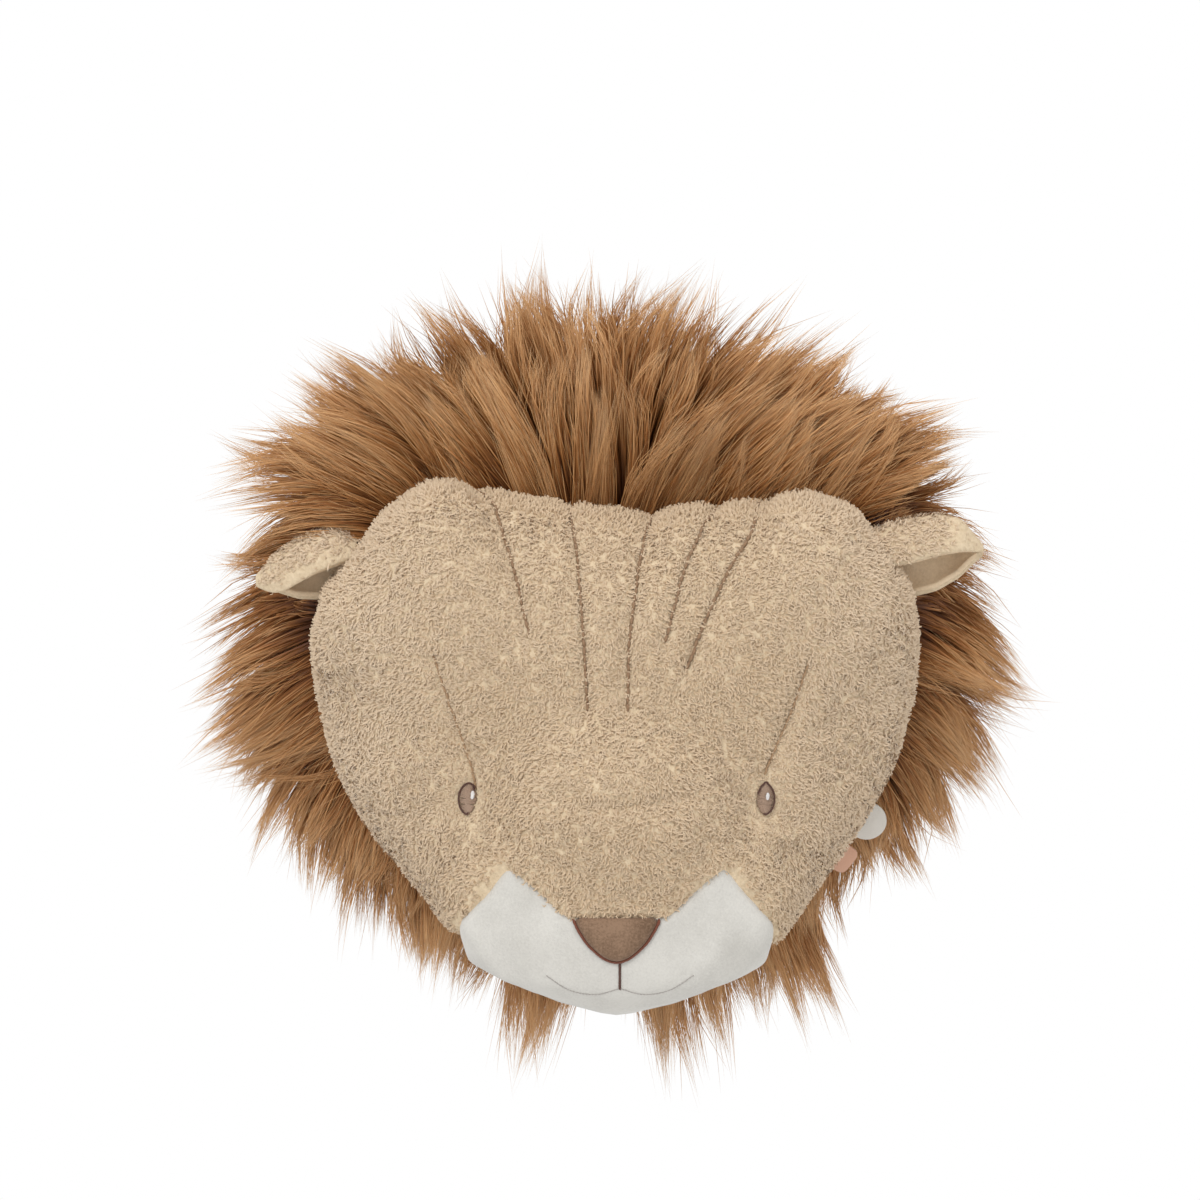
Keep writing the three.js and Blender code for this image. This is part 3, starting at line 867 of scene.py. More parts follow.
FOREHEAD_LINES = (
    ((-0.235, 0.6), (-0.208, 0.52), (-0.168, 0.41), (-0.14, 0.284)),
    ((-0.08, 0.6), (-0.072, 0.477), (-0.06, 0.387), (-0.053, 0.279), (-0.047, 0.144)),
    ((0.062, 0.6), (0.054, 0.477), (0.033, 0.378), (0.02, 0.257), (0.017, 0.144)),
    ((0.178, 0.6), (0.151, 0.477), (0.114, 0.405), (0.095, 0.342), (0.079, 0.275)),
    ((0.262, 0.6), (0.228, 0.468), (0.186, 0.401), (0.144, 0.311), (0.114, 0.221)),
)
BROW_LINES = (
    ((-0.291, 0.221), (-0.267, 0.126), (-0.239, 0.027), (-0.226, -0.035)),
    ((0.305, 0.203), (0.285, 0.126), (0.253, 0.032), (0.24, -0.005)),
)
BRIDGE_TUCK = ((-0.1, -0.005), (0.0, -0.013), (0.12, -0.005))

NOSE_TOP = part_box("nose")[1].z
NOSE_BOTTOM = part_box("nose")[0].z
NOSE_HALF = 0.0193
NOSE_FLANK = (
    (1.0, 0.07), (0.95, 0.16), (0.86, 0.31), (0.72, 0.52), (0.53, 0.72), (0.31, 0.9), (0.12, 0.985),
)
NOSE_RISE = 0.0038
NOSE_SUNK = 0.002
NOSE_RINGS = 8
MOUTH_MIDDLE = 0.0015
LIP_LEVEL = NOSE_BOTTOM - 0.013
MOUTH_HALF = 0.033
MOUTH_CURL = 0.006
MUZZLE_WIDTH = 0.142
MUZZLE_HEIGHT = 0.068
MUZZLE_PEAK = 0.71  # where each peak stands, as a share of the half width
MUZZLE_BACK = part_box("muzzle")[1].y
EYE_ACROSS = 0.068
EYE_LEVEL = -0.0275
EYE_HALF_WIDTH = 0.0043
EYE_HALF_HEIGHT = 0.0070


def quadratic(start, bend, end, count):
    """A bend of count points from start up to end, which it leaves out."""
    shares = np.linspace(0.0, 1.0, count, endpoint=False)[:, None]
    start, bend, end = (np.array(point) for point in (start, bend, end))
    return (1 - shares) ** 2 * start + 2 * shares * (1 - shares) * bend + shares ** 2 * end


def curve_through(points, count):
    """A smooth curve of count points through a few given ones."""
    points = np.asarray(points, float)
    ends = np.vstack([2 * points[0] - points[1], points, 2 * points[-1] - points[-2]])
    runs = np.linspace(0.0, len(points) - 1.0, count)
    whole = np.minimum(runs.astype(int), len(points) - 2)
    t = (runs - whole)[:, None]
    a, b, c, d = (ends[whole + k] for k in range(4))
    square, cube = 2 * a - 5 * b + 4 * c - d, 3 * b - a - 3 * c + d
    return 0.5 * (2 * b + (c - a) * t + square * t ** 2 + cube * t ** 3)


def mirrored(right):
    """A closed outline from its right half, which runs down from the middle to the middle."""
    left = right[right[:, 0] > 1e-6][::-1] * (-1.0, 1.0)
    return np.vstack([right, left])


def muzzle_outline():
    """The velour's edge from the front: level over the nose, up to a peak on each side, and round below."""
    half = MUZZLE_WIDTH / 2 * (1.0 + MUZZLE_WIDER)
    rise = MUZZLE_HEIGHT * 0.22
    peak, corner, bottom = NOSE_TOP + rise + MUZZLE_PEAK_LIFT, NOSE_TOP - rise, NOSE_TOP - MUZZLE_HEIGHT
    return mirrored(np.vstack([
        [(0.0, NOSE_TOP)],
        quadratic((half * 0.34, NOSE_TOP), (half * 0.5, NOSE_TOP + rise * 0.42 + 2 * MUZZLE_FULL),
                  (half * MUZZLE_PEAK, peak), 10),
        quadratic((half * MUZZLE_PEAK, peak), (half * 0.89, (peak + corner) / 2), (half, corner), 10),
        quadratic((half, corner), (half * 0.92, bottom), (half * 0.55, bottom), 12),
        [(half * 0.55, bottom), (0.0, bottom)],
    ]))


def nose_outline():
    """A rounded shield, from the shares of its half width and of its height along one flank."""
    tall = NOSE_TOP - NOSE_BOTTOM
    flank = curve_through([(NOSE_HALF * wide, NOSE_TOP - tall * down) for wide, down in NOSE_FLANK], 22)
    return mirrored(np.vstack([[(0.0, NOSE_TOP), (NOSE_HALF * 0.9, NOSE_TOP)], flank, [(0.0, NOSE_BOTTOM)]]))


def gap_to_path(points, path, closed=False):
    """How far each point lies from a path, in two or three dimensions."""
    ends = np.roll(path, -1, axis=0) if closed else path[1:]
    starts = path if closed else path[:-1]
    best = np.full(len(points), np.inf)
    for start, end in zip(starts, ends):
        along = end - start
        share = np.clip((points - start) @ along / max(along @ along, 1e-18), 0.0, 1.0)
        best = np.minimum(best, np.linalg.norm(points - start - share[:, None] * along, axis=1))
    return best


def depth_inside(points, outline):
    """How far each point lies inside a closed outline, below zero outside it."""
    x, z = points[:, 0], points[:, 1]
    inside = np.zeros(len(points), bool)
    for (ax, az), (bx, bz) in zip(outline, np.roll(outline, -1, axis=0)):
        if az != bz:
            crosses = ((az > z) != (bz > z)) & (x < (bx - ax) * (z - az) / (bz - az) + ax)
            inside ^= crosses
    return np.where(inside, 1.0, -1.0) * gap_to_path(points, outline, closed=True)


def eased(values, low, high):
    """0 below low, 1 above high, and smooth between them."""
    share = np.clip((values - low) / (high - low), 0.0, 1.0)
    return share * share * (3.0 - 2.0 * share)


# Head and muzzle covers

LINE_POINTS = 26
LINE_END = -SEAM_DEPTH - 0.003  # a line ends this near to the wall
HEAD_SEWN = -SEAM_DEPTH - 0.004  # nearer to the wall than this, a cover is sewn down and can't swell
MUZZLE_SEWN = MUZZLE_BACK - 0.03


def line_on(skin, line, count=LINE_POINTS):
    """A line drawn from the front, laid on the skin: its places and the skin's normals.

    It is followed from its low end. Where it rises past the crown, it runs straight back over it instead.
    """
    places, normals = [], []
    last_z = 0.0
    for x, z in curve_through(line, count)[::-1]:
        place, normal, _, _ = skin.ray_cast(Vector((x, -1.0, z)), TO_WALL)
        if place is None and places:
            back = places[-1].y + abs(z - last_z)
            place, normal, _, _ = skin.ray_cast(Vector((x, back, 1.0)), DOWN)
            if place is None or back > LINE_END or normal.z < 0.0:
                break
        places.append(place)
        normals.append(normal)
        last_z = z
    return np.array(places[::-1]), np.array(normals[::-1])


def sewn_lines():
    """The forehead's lines and then the brows, each as points seen from the front."""
    return [[share_point(*point) for point in line] for line in (*FOREHEAD_LINES, *BROW_LINES)]


def on_muzzle(points):
    """How far in under the muzzle's cover each point lies, below zero outside it."""
    inside = depth_inside(points[:, [0, 2]], muzzle_outline())
    return np.minimum(inside, MUZZLE_BACK - points[:, 1])


def shape_by_hand(cover):
    """The filling is uneven: it lifts the crown, draws the cheeks in and makes the chin shallow."""
    points = points_of(cover.data)
    across, up = points[:, 0], points[:, 2] - HEAD_MIDDLE
    radius = np.hypot(across, up)
    turn = np.degrees(np.arctan2(up, np.abs(across)))
    left, right = (np.interp(turn, SIDE_TURNS, side) for side in (SIDE_LEFT, SIDE_RIGHT))
    grow = 1.0 + np.where(across < 0.0, left, right) * eased(radius, 0.085, 0.125) / np.maximum(radius, 1e-6)
    points[:, 0] = across * grow
    points[:, 2] = HEAD_MIDDLE + up * grow
    points[:, 2] += np.interp(points[:, 0], CROWN_PLACES, CROWN_LIFTS) * eased(points[:, 2], 0.035, 0.085)
    lift = np.interp(np.abs(points[:, 0]), CHIN_PLACES, CHIN_LIFTS)
    points[:, 2] += lift * eased(-points[:, 2], 0.095, 0.122)
    move_points(cover.data, points)


def spread_muzzle(cover):
    """Draws the muzzle's two peaks up, its sides out and its flanks beside the nose full."""
    points = points_of(cover.data)
    across = np.abs(points[:, 0])
    full = eased(across, 0.021, 0.034) * (1.0 - eased(across, 0.038, 0.051))
    full *= MUZZLE_FULL * eased(points[:, 2], NOSE_TOP - 0.012, NOSE_TOP + 0.003)
    points[:, 0] *= 1.0 + MUZZLE_WIDER * eased(across, 0.05, 0.07)
    points[:, 2] += MUZZLE_PEAK_LIFT * eased(points[:, 2], NOSE_TOP + 0.002, NOSE_TOP + 0.014) + full
    points[:, 1] += 0.3 * full
    move_points(cover.data, points)


head = stuffed("head_cover", ["head", "muzzle"], PLUSH, HEAD_CLOTH, HEAD_SWELL,
               lambda points: points[:, 1] > HEAD_SEWN, finer=0)
muzzle = stuffed("muzzle_cover", ["muzzle"], MUZZLE_VELOUR, MUZZLE_CLOTH, MUZZLE_SWELL,
                 lambda points: points[:, 1] > MUZZLE_SEWN, rounds=8, spread=0.0006)
shape_by_hand(head)
shape_by_hand(muzzle)
spread_muzzle(muzzle)


def press_lines(cover):
    """Pulls the sewn lines and the eyes in, and lets the cover dive under the muzzle's."""
    skin = tree_over(cover)
    points, normals = points_of(cover.data), normals_of(cover.data)
    pull = np.zeros(len(points))
    for line in sewn_lines():
        path, _ = line_on(skin, line)
        pull = np.maximum(pull, FURROW_DEPTH * np.exp(-(gap_to_path(points, path) / FURROW_REACH) ** 2))
    tuck, _ = line_on(skin, [share_point(*point) for point in BRIDGE_TUCK])
    pull += BRIDGE_SHARE * FURROW_DEPTH * np.exp(-(gap_to_path(points, tuck) / FURROW_REACH) ** 2)
    for side in (-1.0, 1.0):
        place, _ = on_skin(skin, side * EYE_ACROSS, EYE_LEVEL)
        gap = np.linalg.norm(points - np.array(place), axis=1)
        pull += EYE_DENT * np.exp(-(gap / EYE_DENT_REACH) ** 2)
    pull += MUZZLE_TUCK * eased(on_muzzle(points), -0.003, 0.001)
    move_points(cover.data, points - normals * pull[:, None])


press_lines(head)
head_skin = tree_over(head)
muzzle_skin = tree_over(muzzle)
ride(head, "beige_plush", "head")
ride(muzzle, "white_velour", "muzzle")


# Pile

tuft_shape = strand_shape("tuft_shape", TUFT_STEPS)
fur_shape = strand_shape("fur_shape", FUR_STEPS)
PILE_GROWTH = pile_growth()
FUR_GROWTH = fur_growth()
SEAM_GROWTH = seam_growth()


def ripple(points, size, salt):
    """Soft patches between -1 and 1, as a brushed surface has."""
    turns = np.random.default_rng(salt).normal(size=(5, 3)) / size
    phases = np.random.default_rng(salt + 1).uniform(0.0, 2 * math.pi, 5)
    return np.sin(points @ turns.T + phases).mean(axis=1) * 1.6


def drop(*things):
    """Removes helper objects, and the meshes that only they used."""
    for thing in things:
        mesh = thing.data
        bpy.data.objects.remove(thing)
        if mesh.users == 0:
            bpy.data.meshes.remove(mesh)


def plain(thing):
    """Leaves only the map that colours are read from."""
    mesh = thing.data
    kept = (BAKE_MAP, "sharp_face")
    for name in [a.name for a in mesh.attributes if not a.is_required and a.name not in kept]:
        attribute = mesh.attributes.get(name)
        if attribute and not name.startswith("."):
            mesh.attributes.remove(attribute)
    return thing


def head_pile():
    """The pile of the head's cover: none on the muzzle, short round the eyes and along the stitches."""
    ground = add_mesh("pile_ground", head.data.copy())
    mesh = ground.data
    points = points_of(mesh)
    normals = normals_of(mesh)
    front = points[:, [0, 2]]
    clear = PILE_BESIDE_NOSE * eased(np.abs(points[:, 0]), NOSE_HALF, NOSE_HALF + 0.012)
    cover = eased(-on_muzzle(points) - clear, 0.0, 0.0008)
    cover = cover * eased(-SEAM_DEPTH - points[:, 1], 0.0005, 0.002)
    length = np.ones(len(points))
    for side in (-1.0, 1.0):
        eye = np.array([side * EYE_ACROSS, EYE_LEVEL])
        far = np.linalg.norm((front - eye) / (EYE_HALF_WIDTH, EYE_HALF_HEIGHT), axis=1)
        near = points[:, 1] < -0.1
        cover = np.where(near, cover * eased(far, 0.85, 1.15), cover)
        length = np.where(near, length * (0.45 + 0.55 * eased(far, 1.2, 3.0)), length)
    for line in sewn_lines():
        path, _ = line_on(head_skin, line)
        gap = gap_to_path(points, path)
        length *= 0.7 + 0.3 * eased(gap, 0.001, 0.005)
    across = np.abs(points[:, 0]) / (HEAD_WIDTH / 2)
    shade = 0.05 + 0.8 * eased(across, 0.35, 0.9) + 0.12 * ripple(points, 0.02, 11)
    nap = np.column_stack([points[:, 0] * 3.0, np.full(len(points), 0.1), np.full(len(points), -0.35)])
    nap += 0.5 * np.column_stack([ripple(points, 0.012, salt) for salt in (21, 31, 41)])
    at_rim = eased(points[:, 1], -SEAM_DEPTH - 2.8 * RIM_DEPTH, -SEAM_DEPTH - RIM_DEPTH)
    nap[:, 1] += 3.0 * at_rim
    set_attribute(mesh, "raise", 0.4 * at_rim)
    set_attribute(mesh, "cover", cover)
    set_attribute(mesh, "length", length)
    set_attribute(mesh, "shade", np.clip(shade, 0.0, 1.0))
    set_attribute(mesh, "nap", nap - normals * np.sum(nap * normals, axis=1, keepdims=True))
    pile = grown("head_pile", PILE_GROWTH, ground, {
        "Tuft": tuft_shape, "Density": PILE_DENSITY, "Length": PILE_LENGTH, "Width": PILE_WIDTH,
        "Swirl": PILE_SWIRL, "Seed": 3, "Material": PILE,
    })
    drop(ground)
    return plain(pile)


ride(head_pile(), "beige_plush")


# Stitches

def stitch_shape():
    """One stitch of unit length: a thread that swells in its middle and dives at both ends."""
    around = 6
    profile = [(-0.5, 0.0, -0.6), (-0.36, 0.75, -0.1), (0.0, 1.0, 0.2), (0.36, 0.75, -0.1), (0.5, 0.0, -0.6)]
    turns = [2 * math.pi * k / around for k in range(around)]
    work = bmesh.new()
    rings = []
    for along, girth, lift in profile:
        if girth == 0.0:
            rings.append([work.verts.new((along, 0.0, lift))])
            continue
        rings.append([
            work.verts.new((along, 0.5 * girth * math.cos(turn), lift + 0.5 * girth * math.sin(turn)))
            for turn in turns
        ])
    for ring, after in zip(rings[:-1], rings[1:]):
        bridge(work, ring, after)
    bmesh.ops.recalc_face_normals(work, faces=work.faces)
    mesh = mesh_of(work, "stitch_shape")
    smooth_shading(mesh)
    return add_mesh("stitch_shape", mesh)


STITCH = stitch_shape()
ACROSS = math.pi / 2

# Each kind of seam: its thread, the span of one stitch, the pitch from one stitch to the next, how thick
# the thread is, how far a stitch slants off the line, and how high it is lifted over the skin. The spans
# of an iris and of a glint follow their own shapes.
SEAMS = {
    "forehead": {"thread": LINE_THREAD, "span": 0.0044, "pitch": 0.0036, "thick": 0.0018, "lift": 0.0007},
    "brow": {"thread": BROW_THREAD, "span": 0.0044, "pitch": 0.0036, "thick": 0.0012, "lift": 0.0007},
    "iris": {"thread": IRIS_THREAD, "pitch": 0.00045, "thick": 0.0009, "slant": ACROSS, "lift": 0.0012},
    "eye_edge": {"thread": EDGE_THREAD, "span": 0.0014, "pitch": 0.0005, "thick": 0.0007,
                 "slant": math.radians(35), "lift": 0.0018},
    "glint": {"thread": WHITE_THREAD, "pitch": 0.0004, "thick": 0.0006, "slant": ACROSS, "lift": 0.0021},
    "nose_edge": {"thread": NOSE_THREAD, "span": 0.0024, "pitch": 0.00055, "thick": 0.0010,
                  "slant": math.radians(30), "lift": 0.0012},
    "mouth": {"thread": EDGE_THREAD, "span": 0.0017, "pitch": 0.0006, "thick": 0.0009,
              "slant": math.radians(40), "lift": 0.0004},
    "smile": {"thread": GREY_THREAD, "span": 0.0017, "pitch": 0.0014, "thick": 0.0006, "lift": 0.0001},
}
IRIS_OVER = 2.1  # how wide the iris's stitches run, over the eye's half width
EYE_TURNS = {-1.0: (35, 285), 1.0: (150, -105)}  # where each eye's outline starts and ends, in degrees
GLINT_ASIDE = {-1.0: 0.0021, 1.0: 0.0008}
GLINT_LEVEL = EYE_LEVEL + 0.0016
GLINT_WIDTH = 0.0022
GLINT_HALF_HEIGHT = 0.0017


def sewn(name, kind, laid, seed, nodes=(), spans=None):
    """A row of stitches along places on the skin, given with the skin's normals there."""
    seam = SEAMS[kind]
    places, normals = laid
    mesh = bpy.data.meshes.new("path")
    lifted = places + normals * seam["lift"]
    mesh.from_pydata(lifted.tolist(), [(i, i + 1) for i in range(len(places) - 1)], [])
    set_attribute(mesh, "up", normals)
    set_attribute(mesh, "span", np.broadcast_to(seam["span"] if spans is None else spans, len(places)))
    path = add_mesh("path", mesh)
    row = grown(name, SEAM_GROWTH, path, {
        "Stitch": STITCH, "Pitch": seam["pitch"], "Thickness": seam["thick"],
        "Slant": seam.get("slant", 0.0), "Seed": seed, "Material": seam["thread"],
    })
    drop(path)
    return ride(plain(row), "eye_thread", *nodes)


for number, line in enumerate(sewn_lines(), 1):
    if number <= len(FOREHEAD_LINES):
        sewn(f"forehead_stitches_{number}", "forehead", line_on(head_skin, line), number)
    else:
        sewn(f"brow_stitches_{number - len(FOREHEAD_LINES)}", "brow", line_on(head_skin, line), number)


def eye(side, name):
    """An embroidered eye: satin stitches across, a darker outline, and a white glint."""
    heart = np.array([side * EYE_ACROSS, EYE_LEVEL])
    heights = np.linspace(0.96, -0.96, 30)
    middle = [heart + (0.0, height * EYE_HALF_HEIGHT) for height in heights]
    spans = IRIS_OVER * EYE_HALF_WIDTH * np.sqrt(1.0 - heights ** 2)
    sewn(name + "_iris", "iris", laid_on(head_skin, middle), 5, (name,), spans)
    turns = np.radians(np.linspace(*EYE_TURNS[side], 60))
    round_eye = [heart + (EYE_HALF_WIDTH * math.cos(t), EYE_HALF_HEIGHT * math.sin(t)) for t in turns]
    sewn(name + "_outline", "eye_edge", laid_on(head_skin, round_eye), 6)
    glint = np.array([heart[0] + GLINT_ASIDE[side], GLINT_LEVEL])
    heights = np.linspace(0.0014, -0.0014, 7)
    spans = GLINT_WIDTH * np.sqrt(1.0 - (heights / GLINT_HALF_HEIGHT) ** 2)
    bright = [glint + (0.0, height) for height in heights]
    sewn(name + "_glint", "glint", laid_on(head_skin, bright), 7, spans=spans)


eye(-1.0, "eye_left")
eye(1.0, "eye_right")


# Nose and mouth

def pad_on_skin(name, outline, skin, rise, sunk, rings, material):
    """A closed pad over an outline: domed on top, and a little sunk into the skin below."""
    centre = outline.mean(axis=0)
    work = bmesh.new()
    layers = []
    for top in (True, False):
        rows = []
        for ring in range(rings, 0, -1):
            share = ring / rings
            height = rise * (1.0 - share ** 4) ** 0.5 if top else -sunk
            row = []
            for point in centre + (outline - centre) * (share ** 0.8):
                place, normal = on_skin(skin, *point)
                row.append(work.verts.new(place + normal * height))
            rows.append(row)
        place, normal = on_skin(skin, *centre)
        rows.append([work.verts.new(place + normal * (rise if top else -sunk))])
        layers.append(rows)
    for rows in layers:
        for outer, inner in zip(rows[:-1], rows[1:]):
            bridge(work, outer, inner)
    bridge(work, layers[0][0], layers[1][0])
    bmesh.ops.recalc_face_normals(work, faces=work.faces)
    mesh = mesh_of(work, name)
    smooth_shading(mesh)
    return add_mesh(name, mesh, material)


nose = pad_on_skin("nose_pad", nose_outline(), muzzle_skin, NOSE_RISE, NOSE_SUNK, NOSE_RINGS, NOSE_NAP)
ride(nose, "nose_nap", "nose")
nose_rim = nose_outline()
nose_rim = nose_rim[nose_rim[:, 1] < NOSE_TOP - 0.0005]
sewn("nose_outline", "nose_edge", laid_on(muzzle_skin, nose_rim), 8)
below_nose = [(MOUTH_MIDDLE, NOSE_BOTTOM - 0.0002), (MOUTH_MIDDLE, LIP_LEVEL)]
sewn("mouth_line", "mouth", line_on(muzzle_skin, below_nose, 14), 9)
for side, name in ((-1.0, "smile_left"), (1.0, "smile_right")):
    arc = [(MOUTH_MIDDLE + side * run * MOUTH_HALF, LIP_LEVEL + MOUTH_CURL * run * (4 * run - 3))
           for run in (0.0, 1 / 3, 2 / 3, 1.0)]
    sewn(name, "smile", line_on(muzzle_skin, arc, 30), 10)


# Mane

BOARD_LOW, BOARD_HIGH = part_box("back_board")
COLLAR_BACK = BOARD_LOW.y - 0.0003
COLLAR_FRONT = -SEAM_DEPTH + 0.0006


def seam_radii(count):
    """How far the seam lies from the head's middle, for that many angles round it."""
    heart = Vector((0.0, -SEAM_DEPTH - 0.002, HEAD_MIDDLE))
    radii = []
    for k in range(count):
        angle = 2 * math.pi * k / count
        hit = head_skin.ray_cast(heart, Vector((math.cos(angle), 0.0, math.sin(angle))))
        radii.append(hit[3])
    return np.array(radii)


SEAM_STEPS = 180
SEAM_RADII = seam_radii(SEAM_STEPS)


def seam_radius(angle):
    """How far the seam lies from the head's middle at an angle, between those that were measured."""
    turn = np.mod(angle / (2 * math.pi), 1.0) * SEAM_STEPS
    low = np.floor(turn).astype(int) % SEAM_STEPS
    share = turn - np.floor(turn)
    return SEAM_RADII[low] * (1 - share) + SEAM_RADII[(low + 1) % SEAM_STEPS] * share


def on_collar(angle, share):
    """Places on the stuffed collar: share 0 at the board and 1 at the seam."""
    angle, share = np.broadcast_arrays(np.asarray(angle, float), np.asarray(share, float))
    round_way = np.stack([np.cos(angle), np.sin(angle)], axis=-1)
    at_board = round_way * (BOARD_HIGH.x, BOARD_HIGH.z)
    at_seam = round_way * seam_radius(angle)[..., None] + (0.0, HEAD_MIDDLE)
    edge = at_board + (at_seam - at_board) * share[..., None]
    length = np.linalg.norm(edge, axis=-1, keepdims=True)
    edge *= 1.0 + COLLAR_BULGE * np.sin(math.pi * share)[..., None] / length
    depth = COLLAR_BACK + (COLLAR_FRONT - COLLAR_BACK) * share
    return np.stack([edge[..., 0], depth, edge[..., 1]], axis=-1)


def trim(root, tip):
    """How much of the fur is kept, so that it ends near the solid mane's outline."""
    low, high = (np.array(corner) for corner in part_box("mane"))
    kept = np.ones(root.shape[:-1])
    for axis in (0, 2):
        way = tip[..., axis] * 1.1
        room = np.where(way > 0.0, high[axis] + FUR_TRIM, low[axis] - FUR_TRIM) - root[..., axis]
        kept = np.minimum(kept, np.abs(room) / np.maximum(np.abs(way), 1e-6))
    return kept


def near_angle(angle, centre, reach, soft):
    """1 within reach of an angle round the head's middle, and 0 beyond it."""
    off = np.abs((angle - centre + math.pi) % (2 * math.pi) - math.pi)
    return eased(reach - off, 0.0, soft)


def near_ears(angle):
    """1 behind either ear, and 0 away from both."""
    left, right = (near_angle(angle, centre, EAR_REACH, 0.1) for centre in EAR_ANGLES)
    return np.maximum(left, right)


def fur_lie(angle, share, turn=0.0, vigour=1.0, lift=0.0, sway=0.0):
    """The middle and tip of the fur that grows at a place on the collar, measured from its root.

    It stands up over the forehead, and lies over and droops at the sides.
    """
    rise = np.sin(angle)
    sweep = sum(far * np.sin(waves * angle + start) for far, waves, start in FUR_WAVES)
    free = 1.0 - near_angle(angle, CHIN, CHIN_REACH, 0.3)
    lie = angle + turn + free * (sweep - SIDE_TURN * np.cos(angle) * (1.0 - 0.6 * rise))
    lean = np.interp(share, FUR_SHARES, FUR_LEANS) + lift
    behind = np.maximum(near_angle(angle, LABEL_ANGLE, LABEL_REACH, 0.25), near_ears(angle))
    lean = lean * (1.0 - behind) + np.minimum(lean, -0.06) * behind
    short = near_ears(angle) * eased(share, 0.5, 0.68)
    lean -= 1.6 * short
    heading = np.stack([np.cos(lie), -lean * np.ones_like(lie), np.sin(lie)], axis=-1)
    heading /= np.linalg.norm(heading, axis=-1, keepdims=True)
    ring = np.interp(share, FUR_SHARES, FUR_RINGS)
    ring = ring + 0.26 * eased(rise, 0.2, 0.8) * eased(share, 0.55, 0.95)
    by_angle = np.interp(np.degrees(angle) % 360.0, FUR_TURNS, FUR_SIDES + FUR_CHIN)
    reach = FUR_LENGTH * ring * vigour * by_angle * (1.0 - 0.7 * short)
    drop_by = reach * DROOP * (1.0 - 0.7 * np.maximum(rise, 0.0))
    tip = heading * reach[..., None]
    aside = np.stack([-np.sin(lie), np.zeros_like(lie), np.cos(lie)], axis=-1)
    middle = tip * 0.5 + aside * (reach * sway)[..., None]
    tip[..., 2] -= drop_by
    kept = trim(on_collar(angle, share), tip)[..., None]
    return middle * kept, tip * kept


def collar_mesh(name):
    """The fur's backing: a closed drum from the board to the seam, and each point's angle and share."""
    shares = np.linspace(0.0, 1.0, COLLAR_RINGS)
    around = COLLAR_ROUND
    angles = np.arange(around) * 2 * math.pi / around
    rows = [on_collar(angles, share) for share in shares]
    points = np.vstack([*rows, [(0.0, COLLAR_BACK, 0.0)], [(0.0, COLLAR_FRONT, HEAD_MIDDLE)]])
    last = len(shares) - 1
    faces = []
    for row in range(last):
        for k in range(around):
            after = (k + 1) % around
            here, there = row * around, (row + 1) * around
            faces.append((here + k, here + after, there + after, there + k))
    for k in range(around):
        after = (k + 1) % around
        faces.append((k, len(points) - 2, after))
        faces.append((last * around + k, last * around + after, len(points) - 1))
    mesh = bpy.data.meshes.new(name)
    mesh.from_pydata(points.tolist(), [], faces)
    turn_out(mesh)
    all_angles = np.concatenate([np.tile(angles, len(shares)), [0.0, 0.0]])
    all_shares = np.concatenate([np.repeat(shares, around), [0.0, 1.0]])
    return mesh, all_angles, all_shares


def guides(name, in_ring, seed, unruly, places=None):
    """Points on the collar that the fur near them draws together to, even or at given angles."""
    dice = np.random.default_rng(seed)
    in_ring = in_ring if places is None else len(places)
    ring = np.repeat(np.arange(LOCK_RINGS), in_ring)
    slot = np.tile(np.arange(in_ring), LOCK_RINGS)
    count = len(slot)
    angle = (slot + 0.5 * (ring % 2) + dice.uniform(-0.45, 0.45, count)) * 2 * math.pi / in_ring
    if places is not None:
        angle = np.radians(places)[slot] + dice.uniform(-0.03, 0.03, count)
    share = np.clip((ring + 0.5 + dice.uniform(-0.5, 0.5, count)) / LOCK_RINGS, 0.02, 0.99)
    middle, tip = fur_lie(
        angle, share,
        turn=dice.normal(0.0, GUIDE_TURN * unruly, count),
        vigour=1.0 + dice.uniform(-GUIDE_SHORTER, GUIDE_LONGER, count) * unruly,
        lift=dice.normal(0.0, GUIDE_LEAN * unruly, count),
        sway=dice.normal(0.0, GUIDE_SWAY * unruly, count),
    )
    mesh = bpy.data.meshes.new(name)
    mesh.from_pydata(on_collar(angle, share).tolist(), [], [])
    set_attribute(mesh, "middle", middle)
    set_attribute(mesh, "tip", tip)
    set_attribute(mesh, "tone", dice.uniform(0.0, 1.0, count))
    return add_mesh(name, mesh)


